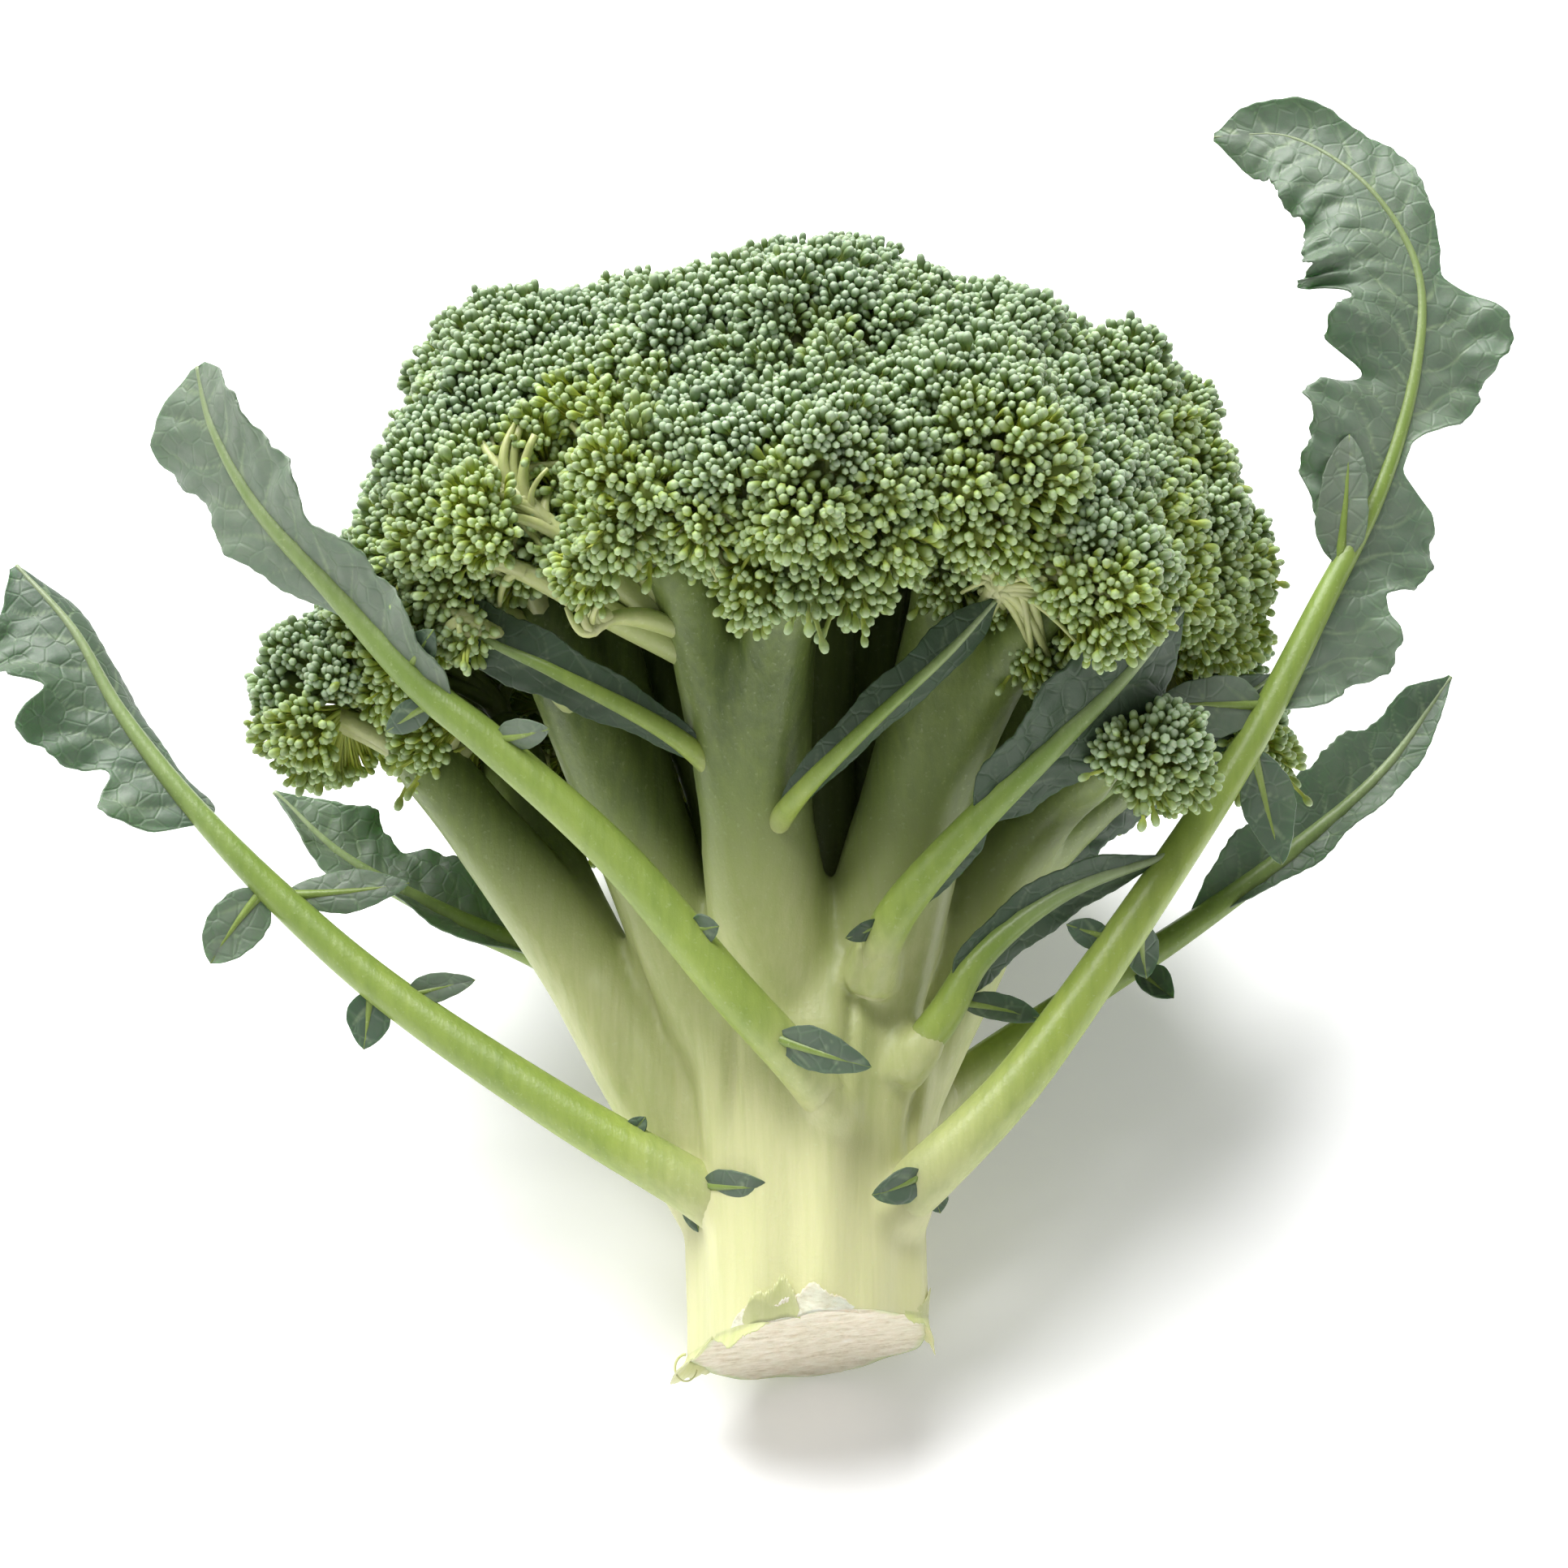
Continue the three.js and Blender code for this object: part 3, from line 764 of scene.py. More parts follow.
def add_ribs(skin, index, own, rng):
    """Side branches from the floret's branch to each cluster, and the flared base of each cluster."""
    places, ways, sizes = own
    path, _ = branch_path(index)
    rim = rim_share(places, ways)
    leave = np.clip(1.0 - 0.3 * rim + rng.normal(0, 0.04, len(rim)), 0.5, 1.0)
    step = leave * (len(path) - 1)
    low = np.minimum(step.astype(int), len(path) - 2)
    starts = path[low] + (path[low + 1] - path[low]) * (step - low)[:, None]
    along = unit(path[low + 1] - path[low])
    bases = places - ((0.85 + 0.9 * rim) * sizes)[:, None] * ways
    reach = np.linalg.norm(bases - starts, axis=1, keepdims=True)
    t = np.linspace(0, 1, 9)
    paths = bezier(starts, starts + along * reach * 0.5, bases + 0.35 * sizes[:, None] * ways, t)
    radii = (1.7 + 0.6 * rim[:, None]) * (1 - 0.35 * t)[None]
    # ribs take tone 0.75, in the stem ramp's dark painted shade inside the crown; rim ribs turn paler towards
    # their clusters
    skin.tubes(paths, radii, 8, tone_of(radii.shape, 0.75 - 0.35 * t * rim[:, None], 0.5, 0), 1)
    cones = places[:, None] + ways[:, None] * (CONE_HEIGHTS * sizes[:, None])[..., None]
    cone_radii = CONE_WIDTHS * sizes[:, None] * (1 - 0.32 * rim)[:, None]
    skin.tubes(cones, cone_radii, 12, tone_of(cone_radii.shape, CONE_TONES, 0.3, 0.8 * rim[:, None]), 0)


def add_boughs(skin, index):
    """A floret's share of the bare boughs in the crown's front."""
    t = np.linspace(0, 1, 12)
    for borne, leave, bend, end, thick, thin in BOUGHS:
        if borne != index + 1:
            continue
        start = branch_path(index, 41)[0][int(leave * 40)]
        path = bezier(start[None], np.array([bend], float), np.array([end], float), t)
        wobble = 1 + 0.08 * np.sin(9 * t + borne)
        # each bough starts in the stem ramp's dark painted shade by its limb and turns to its own pale colour
        # towards its end
        tone = tone_of((1, 12), 0.84 - 0.48 * t**0.6, 0.5, 0)
        skin.tubes(path, ((thick + (thin - thick) * t) * wobble)[None], 14, tone, 1)


def add_fans(skin, own, rng):
    """The thin stems that fan out from the bare boughs to the clusters round them."""
    places, ways, sizes = own
    pick = np.repeat(np.where(open_gap(places) < 9)[0], 6)
    if not len(pick):
        return
    place, way, size = places[pick], ways[pick], sizes[pick, None]
    tips = np.array([bough[3] for bough in BOUGHS], float)
    roots = np.array([0.65 * np.array(bough[2]) + 0.35 * np.array(bough[3]) for bough in BOUGHS])
    near = np.argmin(np.linalg.norm(place[:, None] - tips[None], axis=2), axis=1)
    share = rng.uniform(0.15, 0.95, (len(pick), 1))
    begin = roots[near] + share * (tips[near] - roots[near])
    kept = np.linalg.norm(place - begin, axis=1) < 19
    place, way, size, near, begin = place[kept], way[kept], size[kept], near[kept], begin[kept]
    if not len(place):
        return
    towards = unit(begin - place)
    end = place + 0.5 * size * towards + size * (rng.normal(0, 0.3, place.shape) + 0.3 * way)
    reach = np.linalg.norm(end - begin, axis=1, keepdims=True)
    bend = begin + 0.45 * reach * unit(tips[near] - roots[near]) + 0.12 * reach * way
    bend = bend + rng.normal(0, 0.7, place.shape)
    t = np.linspace(0, 1, 10)
    radii = rng.uniform(0.5, 1.0, (len(place), 1)) * (1.3 - 0.75 * t)[None]
    skin.tubes(bezier(begin, bend, end, t), radii, 8, tone_of(radii.shape, 0.46 + 0.06 * t, 0.5, 0), 1)


def build_florets():
    """Every floret's buds, with the flesh and the small stems under them."""
    places, ways, sizes, owner = place_clusters()
    for i, name in enumerate(FLORETS):
        rng = np.random.default_rng(1000 + i)
        own = (places[owner == i], ways[owner == i], sizes[owner == i])
        skin = Skin()
        add_clusters(skin, places, sizes, own, rng)
        add_ribs(skin, i, own, rng)
        add_boughs(skin, i)
        add_fans(skin, own, rng)
        add_strays(skin, own, rng)
        settle(skin.make(name + "_buds", [BUD, STEM]), "floret", name)


# ---------------------------------------------------------------- the stalk and branches

STALK_SPINE = [(0, 0, -16), (0, 0, -15), (0, 0, 0), (-0.5, 0, 14), (-0.5, 0, 27), (0, 0, 40), (0, 0, 52),
               (0, 0, 64)]
STALK_RADII = [0.5, 17.5, 17.6, 17.8, 18.8, 21, 20, 10]
SPINE_STEPS = 60
BRANCH_STEPS = 24
COLLAR_STEPS = 22  # of the 30 along a leaf stem's first three points
BLUNT = 0.05  # the radius that a hidden tube starts with, mm
BRANCH_VOXEL = 0.85
CUT_POINT = np.array([0.0, 0.0, -3.2])
CUT_SLOPE = (0.12, -0.16)  # how the cut face rises to the right and towards the floor
CUT_SIDES = 180
CUT_RINGS = 46
# Creases down the stalk: where round it in radians, from and to in height, and depth, mm.
GROOVES = [(0.26, 26, 58, 1.5), (-0.62, 20, 46, 1.1), (0.95, 18, 52, 1.2), (-1.3, 24, 56, 1.0),
           (2.2, 16, 52, 1.2), (-2.4, 20, 52, 1.3)]
# Strips of skin torn at the cut: from and to, in degrees round the stalk, height in mm, lean outwards in
# degrees, 1 for a strip that runs on past the cut or -1 for one peeled back, and 0 for flesh or 1 for skin.
TORN_SKIN = [(-132, -68, 5.4, 14, -1, 0), (-124, -96, 8.5, 16, -1, 1), (-40, 14, 5.2, 20, 1, 1),
             (-34, -4, 7.0, 9, -1, 1), (150, 215, 5.2, 46, 1, 1), (215, 252, 3.6, 18, 1, 1)]
STRIP_STEPS = 90  # corners along a torn strip
STRIP_ROWS = 9  # rows of corners up it
THREAD_STEPS = 40  # along the one loose thread that curls off the rim


def smoothed(points, edges, rounds):
    """Laplacian smoothing that keeps the volume about right (a step out after each step in)."""
    count = np.bincount(edges.ravel(), minlength=len(points))[:, None]
    for step in (0.6, -0.5) * rounds:
        total = np.zeros_like(points)
        for axis in range(3):
            total[:, axis] = np.bincount(edges[:, 0], points[edges[:, 1], axis], len(points))
            total[:, axis] += np.bincount(edges[:, 1], points[edges[:, 0], axis], len(points))
        points = points + step * (total / count - points)
    return points


def ridged(points):
    """The stalk's lengthwise ridges and the creases between the branches that it is grown from."""
    x, y, z = points.T
    round_ = np.arctan2(x, -y)
    reach = np.hypot(x, y)
    low = 1 - smooth_step(z, 40, 62)
    swell = 0.55 * np.sin(7 * round_ + 0.03 * z) + 0.3 * np.sin(12 * round_ - 0.05 * z + 1.0)
    swell = swell * low * smooth_step(reach, 8, 14)
    for angle, bottom, top, depth in GROOVES:
        groove = np.exp(-((round_ - angle - 0.004 * (z - 40)) * reach / 1.1) ** 2)
        ends = smooth_step(z, bottom, bottom + 14) * (1 - smooth_step(z, top - 8, top + 4))
        swell = swell - depth * groove * ends * smooth_step(reach, 10, 15)
    moved = points.copy()
    moved[:, :2] *= (1 + swell / np.maximum(reach, 6))[:, None]
    return moved


def cut_height(x, y):
    """The cut face's height over a place, before its fibres."""
    return CUT_POINT[2] + CUT_SLOPE[0] * x + CUT_SLOPE[1] * y


def plain_tube(skin, path, radii, sides):
    """One tube of the rough stalk, which gets its tone after the tubes are joined."""
    skin.tubes(path[None], np.asarray(radii)[None], sides, np.zeros((1, len(path), 3)), 0)


def rough_stalk():
    """The stalk, branches, inner twigs and the feet of the leaf stems, as tubes run into one another."""
    skin = Skin()
    stop = np.linspace(0, 1, SPINE_STEPS)
    radii = np.interp(stop, np.linspace(0, 1, len(STALK_RADII)), STALK_RADII)
    plain_tube(skin, spline(STALK_SPINE, SPINE_STEPS), radii, 48)
    narrowing = np.interp(np.linspace(0, 1, BRANCH_STEPS), [0, 0.85, 1], [1, 1, 0.55])
    for index in range(len(FLORETS)):
        path, width = branch_path(index, BRANCH_STEPS)
        plain_tube(skin, np.concatenate([path[:1], path]), np.concatenate([[BLUNT], width * narrowing]), 20)
    rng = np.random.default_rng(21)
    for way in cap_directions((0, 0.25, 1), 60, math.radians(100)):
        if way[1] < -0.25:
            continue
        end = CROWN_MIDDLE + 34 * way + rng.normal(0, 2, 3)
        start = np.array([0.25 * end[0], 0.25 * end[1], 50.0])
        path = bezier(start[None], 0.5 * (start + end)[None] + [0, 0, 4], end[None], np.linspace(0, 1, 14))
        plain_tube(skin, path[0], [BLUNT, 3.2] + [2.8] * 11 + [1.4], 12)
    flare = np.interp(np.linspace(0, 1, COLLAR_STEPS), [0, 0.36, 0.6, 1], [1.5, 1.3, 0.72, 0.4])
    for leaf in LEAVES.values():
        if np.hypot(*leaf["rib"][0][:2]) > 22:
            continue
        fat = flare * leaf["stem"][1]
        fat[0] = BLUNT
        plain_tube(skin, spline(leaf["rib"][:3], 30)[:COLLAR_STEPS], fat, 20)
    return skin.make("rough_branches", [])


def build_stalk():
    """The stalk with all the branches grown out of it, as one smooth skin with an open cut end."""
    rough = rough_stalk()
    remesh = rough.modifiers.new("join", "REMESH")
    remesh.mode = "VOXEL"
    remesh.voxel_size = BRANCH_VOXEL * MM
    joined = bpy.data.meshes.new_from_object(rough.evaluated_get(bpy.context.evaluated_depsgraph_get()))
    bpy.data.objects.remove(rough)
    edges = np.empty(len(joined.edges) * 2, np.int32)
    joined.edges.foreach_get("vertices", edges)
    points = ridged(smoothed(to_plant(mesh_corners(joined)), edges.reshape(-1, 2), 16))
    joined.vertices.foreach_set("co", to_frame(points).astype(np.float32).ravel())
    work = bmesh.new()
    work.from_mesh(joined)
    normal = np.array([-CUT_SLOPE[0], -CUT_SLOPE[1], 1.0])
    bmesh.ops.bisect_plane(work, geom=work.verts[:] + work.edges[:] + work.faces[:],
                           plane_co=to_frame(CUT_POINT), plane_no=unit(normal) @ PLANT_AXES, clear_inner=True)
    rim = [v.co[:] for v in work.verts if v.is_boundary]
    work.to_mesh(joined)
    work.free()
    points = to_plant(mesh_corners(joined))
    # the height tone runs the stem ramp from pale at the cut to the painted shade near the crown
    set_tone(joined, tone_of(len(points), smooth_step(points[:, 2], 0, 100), 0.5, 0))
    joined.polygons.foreach_set("use_smooth", np.ones(len(joined.polygons), bool))
    joined.materials.clear()
    joined.materials.append(STEM)
    settle(new_object("stalk_and_branches", joined), "stalk", "stalk")
    build_cut(to_plant(np.array(rim)))


def add_face(skin, angle, edge, rng):
    """The cut face, out to its edge at every angle: fibres across it and a slight hollow."""
    share = np.linspace(1.0, 0.0, CUT_RINGS) ** 0.8
    x = share[:, None] * (edge * np.cos(angle))[None]
    y = share[:, None] * (edge * np.sin(angle))[None]
    fibre = np.zeros_like(x)
    for size, strength in ((0.7, 0.05), (1.3, 0.07), (3.1, 0.09), (7.0, 0.16)):
        lean = rng.uniform(-0.3, 0.3)
        fibre += strength * np.sin((y + lean * x) * TURN / size + rng.uniform(0, TURN)
                                   + 1.2 * np.sin(x * TURN / (size * 4) + rng.uniform(0, TURN)))
    inner = smooth_step(1 - share, 0.0, 0.06)[:, None]
    hollow = -0.3 * np.exp(-((x - 3) ** 2 + (y + 2) ** 2) / 60)
    face = np.stack([x, y, cut_height(x, y) - (fibre + hollow) * inner], 2)
    tones = tone_of(x.shape, share[:, None], 0.5, 0)
    hidden = face[:1] * np.array([0.85, 0.85, 1]) + np.array([0, 0, 2.5])
    skin.loft(np.concatenate([hidden, face[:-1]])[:, ::-1], np.concatenate([tones[:1], tones[:-1]]), 0)


def add_torn_strip(skin, angle, edge, strip, rng):
    """A ragged strip of skin or flesh that stands at the cut's edge."""
    start, end, high, lean, back, kind = strip
    turn = np.radians(np.linspace(start, end, STRIP_STEPS))
    reach = np.interp(turn, angle, edge, period=2 * math.pi)
    out = np.stack([np.cos(turn), np.sin(turn), np.zeros(STRIP_STEPS)], 1)
    root = out * (reach - 0.25)[:, None]
    root[:, 2] = cut_height(root[:, 0], root[:, 1]) + 0.6 * back
    ragged = 0.7 + 0.16 * np.sin(turn * 11 + start) + 0.08 * np.sin(turn * 27)
    ragged = np.clip(ragged + 0.03 * rng.normal(0, 1, STRIP_STEPS), 0.15, 1.2)
    tall = high * ragged * np.sin(np.linspace(0, np.pi, STRIP_STEPS)) ** 0.5 + 0.05
    share = np.linspace(0, 1, STRIP_ROWS)
    bow = np.radians(lean) * (0.35 + 0.9 * share)
    run = np.stack([np.sin(bow), -back * np.cos(bow)], 1).cumsum(0) / STRIP_ROWS
    curve = out[:, None] * run[None, :, :1] + np.array([0, 0, 1.0]) * run[None, :, 1:]
    outer = root[:, None] + curve * tall[:, None, None]
    thick = (0.5 * (1 - 0.75 * share))[None, :, None] * out[:, None]
    ring = np.concatenate([outer + thick * 0.5, (outer - thick * 0.5)[:, ::-1]], 1)
    tone = [np.full((STRIP_STEPS, STRIP_ROWS, 3), level) for level in (0.25, 0.1)]
    skin.loft(ring, np.concatenate(tone, 1), kind)


def build_cut(rim):
    """The cut face, which meets the stalk's rim, with the strips torn at its edge and one loose thread."""
    rng = np.random.default_rng(5)
    turn = np.arctan2(rim[:, 1], rim[:, 0])
    order = np.argsort(turn)
    angle = np.linspace(-math.pi, math.pi, CUT_SIDES, endpoint=False)
    edge = np.interp(angle, turn[order], np.hypot(rim[:, 0], rim[:, 1])[order], period=2 * math.pi)
    skin = Skin()
    add_face(skin, angle, edge, rng)
    for strip in TORN_SKIN:
        add_torn_strip(skin, angle, edge, strip, rng)
    curl = np.linspace(0, 4.6, THREAD_STEPS)
    thread = np.stack([-18.5 - 1.6 * np.sin(curl), np.full(THREAD_STEPS, -1.0) + 0.25 * curl,
                       -4.6 - 1.9 * (1 - np.cos(curl))], 1)
    skin.tubes(thread[None], np.linspace(0.22, 0.1, THREAD_STEPS)[None], 7,
               np.full((1, THREAD_STEPS, 3), 0.2), 1)
    settle(skin.make("cut_face", [FLESH, STEM]), "stalk")


# ---------------------------------------------------------------- the leaves

# Each leaf repeats the points of its rib from part.mjs, and faces a direction. stem is the leaf stem's
# radius at each of those points. left and right are half widths beside the rib, as seen from the leaf's
# face, at places counted along the rib's points. fold is how far each half is folded towards the face, and
# curl how much more it turns towards its edge, both in degrees, left and right. ruffle is how wavy the
# edge is, back how much of the pale underside's colour the face has, and deep how much painted shade
# darkens the blade, for leaves that lie in the crown's shadow.
# A leaflet is: place, side, length, half width, lean along the rib in degrees, lift towards the face, and
# 1 for a pale back.
LEAVES = {
    "leaf_right_long": dict(
        rib=[(9, -8, 14), (17, -13, 20), (31, -17, 34), (50, -19, 60), (66, -20, 84), (78, -22, 106),
             (88, -24, 125), (94, -26, 144), (95, -27, 160), (88, -28, 174), (77, -26, 184), (65, -23, 186)],
        face=(0.1, -0.94, -0.34), stem=(4.6, 4.2, 3.6, 2.9, 2.4, 1.9, 1.3, 1.0, 0.75, 0.5, 0.35, 0.2),
        left=[(5.2, 0), (5.5, 8), (5.9, 14), (6.3, 17), (6.62, 14), (6.75, 6), (6.9, 14), (7.3, 16),
              (7.55, 12), (7.75, 18), (8.2, 20), (8.7, 15), (9.2, 12), (10, 9), (10.6, 6), (11, 0)],
        right=[(4.2, 0), (4.45, 8), (4.8, 14), (5.1, 13), (5.25, 7), (5.4, 11), (5.7, 14), (5.95, 10),
               (6.1, 2), (6.4, 2.5), (6.65, 9), (7.0, 13), (7.4, 14), (7.7, 11), (7.85, 4), (8.3, 5),
               (8.8, 8), (9.3, 7), (10, 6), (10.6, 5), (11, 0)],
        fold=(18, -12), curl=(-20, 24), ruffle=1.7, back=0.45, deep=0,
        leaflets=[(5.25, -1, 19, 4.4, 62, 3, 1), (4.25, -1, 17, 4.6, -30, 1, 1),
                  (4.0, 1, 17, 4.5, -35, -4, 0),
                  (2.75, -1, 7, 2.4, -20, 0, 0), (2.9, 1, 8, 3, -40, -3, 0), (1.1, -1, 8, 2.7, -60, 4, 0),
                  (1.0, 1, 5, 2, -30, -3, 0)]),
    "leaf_left_long": dict(
        rib=[(-10, -6, 14), (-18, -9, 19), (-37, -10, 30), (-61, -10, 46), (-78, -11, 60), (-94, -13, 76),
             (-106, -14, 91), (-114, -15, 104), (-124, -15, 115)],
        face=(0.2, -0.9, -0.38), stem=(4.6, 4.1, 3.6, 3.0, 2.5, 1.7, 1.1, 0.7, 0.3),
        left=[(4.85, 0), (5.0, 7), (5.35, 13), (5.58, 5), (5.78, 12), (6.2, 16), (6.48, 6), (6.7, 13),
              (7.1, 15), (7.5, 10), (8, 0)],
        right=[(4.8, 0), (4.95, 4.5), (5.3, 3.5), (6, 4.5), (6.8, 5), (7.4, 4), (8, 0)],
        fold=(12, -48), curl=(25, -30), ruffle=1.6, back=0.1, deep=0.12,
        leaflets=[(4.15, 1, 20, 3.3, -45, -1, 1), (4.25, -1, 13, 4.6, -5, 1, 1),
                  (3.05, 1, 11, 2.4, -42, 1, 1),
                  (3.25, -1, 9, 3.4, -30, -1, 0), (1.6, 1, 4, 1.6, -20, 1, 0), (1.0, 1, 9.5, 2.7, -55, 5, 0),
                  (1.0, -1, 5, 2.2, -40, -2, 0)]),
    "leaf_upper_left": dict(
        rib=[(6, -11, 25), (-1, -22, 33), (-12, -28.5, 44), (-28, -33, 62), (-46, -36, 78), (-57, -37, 87),
             (-70, -39, 101), (-81, -41, 113), (-88, -42, 125), (-91, -43, 135)],
        face=(-0.45, -0.8, -0.4), stem=(3.6, 3.5, 3.4, 3.1, 2.7, 2.3, 1.7, 1.2, 0.8, 0.35),
        left=[(5.6, 0), (5.9, 3), (6.4, 6.5), (6.9, 8), (7.3, 7.5), (7.7, 10), (8.2, 11), (8.6, 8), (9, 0)],
        right=[(4.5, 0), (4.8, 5), (5.3, 8), (6.0, 9.5), (6.4, 7), (6.8, 9.5), (7.4, 10), (7.7, 8), (8.1, 9),
               (8.5, 6), (8.8, 5), (9, 0)],
        fold=(8, 14), curl=(-18, 10), ruffle=1.5, back=0.75, deep=0,
        leaflets=[(5.15, 1, 8, 2.6, -5, 2, 0), (4.75, -1, 8, 2.4, 20, 1, 0), (4.05, 1, 10, 2.6, -40, 2, 1),
                  (2.45, 1, 5, 2.2, -30, 1, 0), (1.55, 1, 14, 3.4, -48, 2, 0)]),
    "leaf_inner_left": dict(
        rib=[(-9, -23, 73), (-20, -34, 80), (-37, -39, 88), (-47, -39, 93), (-57, -38, 101)],
        face=(-0.3, -0.85, -0.45), stem=(2.2, 1.5, 1.0, 0.6, 0.25),
        left=[(0.3, 0), (1, 3), (2, 5), (3, 5.5), (3.6, 4), (4, 0)],
        right=[(0.2, 0), (1, 2.5), (2, 4.5), (3, 5), (3.6, 3.5), (4, 0)],
        fold=(-22, -22), curl=(10, 10), ruffle=0.8, back=0.0, deep=0.85, leaflets=[]),
    "leaf_back_left": dict(
        rib=[(-14, 8, 26), (-26, 13, 43), (-40, 17, 58), (-58, 19, 67), (-76, 19, 77), (-88, 17, 88)],
        face=(-0.2, -0.5, 0.85), stem=(3, 2.8, 2.4, 1.8, 1.1, 0.4),
        left=[(1.8, 0), (2.4, 4), (3.2, 6), (4, 7), (4.6, 4), (5, 0)],
        right=[(1.3, 0), (1.8, 5), (2.5, 8), (3.2, 9), (4, 9), (4.6, 6), (5, 0)],
        fold=(10, 25), curl=(0, 25), ruffle=1.8, back=0.6, deep=0.25, leaflets=[]),
    "leaf_centre": dict(
        rib=[(-8, -22, 66), (-2, -34, 71), (8, -42, 79), (19, -47, 88), (26, -50, 95)],
        face=(0.1, -0.75, -0.65), stem=(2.2, 1.5, 1.0, 0.7, 0.25),
        left=[(0.5, 0), (1, 2.6), (2, 3.6), (3, 4), (3.6, 3), (4, 0)],
        right=[(0.5, 0), (1, 2.4), (2, 3.4), (3, 3.8), (3.6, 3), (4, 0)],
        fold=(-30, -30), curl=(0, 0), ruffle=0.5, back=0.0, deep=0.85, leaflets=[]),
    "leaf_inner_right": dict(
        rib=[(8, -19, 46), (12, -27, 55), (22, -32, 66), (34, -37, 77), (44, -41, 86), (53, -44, 96)],
        face=(0.35, -0.8, -0.5), stem=(3.2, 3.0, 2.4, 1.8, 1.1, 0.4),
        left=[(2.1, 0), (2.35, 5), (2.8, 7), (3.4, 9), (4, 9.5), (4.5, 7), (5, 0)],
        right=[(0.9, 0), (1.3, 4), (2.0, 4.5), (2.2, 1.5), (2.5, 6), (3.0, 8), (3.8, 9), (4.5, 7), (5, 0)],
        fold=(12, -14), curl=(0, 10), ruffle=1.0, back=0.0, deep=0.9,
        leaflets=[(0.95, -1, 6, 1.8, -40, 1, 0)]),
    "leaf_low_right": dict(
        rib=[(12, -14, 34), (19, -18, 42), (25, -20, 51), (37, -21, 60), (53, -21, 66)],
        face=(0, -0.9, -0.4), stem=(2.8, 2.7, 2.0, 1.3, 0.5),
        left=[(1.3, 0), (1.7, 3), (2.5, 4), (3.3, 4), (4, 0)],
        right=[(1.1, 0), (1.7, 4), (2.5, 5), (3.3, 4), (4, 0)],
        fold=(20, -25), curl=(0, -10), ruffle=0.8, back=0.0, deep=0.6,
        leaflets=[(1.25, 1, 13, 2.4, 20, -3, 0)]),
    "leaf_middle_right": dict(
        rib=[(16, -3, 44), (27, -5, 60), (40, -8, 76), (56, -10, 87), (72, -11, 98)],
        face=(0.1, -0.8, -0.6), stem=(2.6, 2.3, 1.7, 1.0, 0.4),
        left=[(0.8, 0), (1.5, 6), (2.2, 9), (3, 9), (3.6, 6), (4, 0)],
        right=[(0.8, 0), (1.5, 6), (2.2, 9), (3, 9), (3.6, 6), (4, 0)],
        fold=(10, -10), curl=(10, -10), ruffle=1.2, back=0.0, deep=0.7, leaflets=[]),
    "leaf_back_right": dict(
        rib=[(14, 11, 30), (26, 20, 42), (44, 25, 55), (62, 27, 67), (81, 28, 81), (97, 28, 95),
             (110, 27, 112)],
        face=(0.3, -0.6, 0.7), stem=(3.4, 3.1, 2.7, 2.2, 1.6, 1.0, 0.3),
        left=[(3.0, 0), (3.4, 6), (4, 8), (4.6, 9), (5.2, 8), (5.7, 5), (6, 0)],
        right=[(3.1, 0), (3.5, 3), (4.2, 5), (5, 4.5), (5.6, 3), (6, 0)],
        fold=(35, 5), curl=(20, 0), ruffle=1.8, back=0.3, deep=0.15,
        leaflets=[(2.5, 1, 8, 3, 10, -2, 0), (2.7, -1, 7, 2.4, 10, 1, 0)]),
}
LEAF_STEP = 0.55  # the spacing of a blade's corners along its rib, mm
HALF_COLUMNS = 22  # columns of corners from the rib to the edge of a blade
LEAF_THICKNESS = 0.55
LEAST_WIDTH = 0.02  # so that a blade never closes on itself, mm
TOOTH_WAVE = 8.4  # the wave that makes the edge's teeth, one each half wave, mm
VEIN_SPACING = 6.5
VEIN_RELIEF = 0.22  # how far veins stand out under a blade, and the leaf puffs up between them, mm
FULL_WIDTH = 9.0  # the half width at which ruffles and puffs have their full height, mm


def stations(pairs, place):
    """Values at places, from pairs of a place and its value."""
    x, y = np.array(pairs, float).T
    return np.interp(place, x, y)


def eased(values, steps):
    """A running average, which rounds a list's corners; the ends stay."""
    kernel = np.hanning(2 * steps + 3)[1:-1]
    padded = np.pad(values, steps, mode="edge")
    return np.convolve(padded, kernel / kernel.sum(), mode="valid")


def wave(length, long, phase):
    """A wave along a blade, with its crests long apart."""
    return np.sin(length * TURN / long + phase)


def leaf_axes(rib, face):
    """Directions at each point of a rib: along it, across the blade, and out of the blade's face."""
    along = unit(np.gradient(rib, axis=0))
    side = unit(np.cross(along, face))
    return along, side, np.cross(side, along)


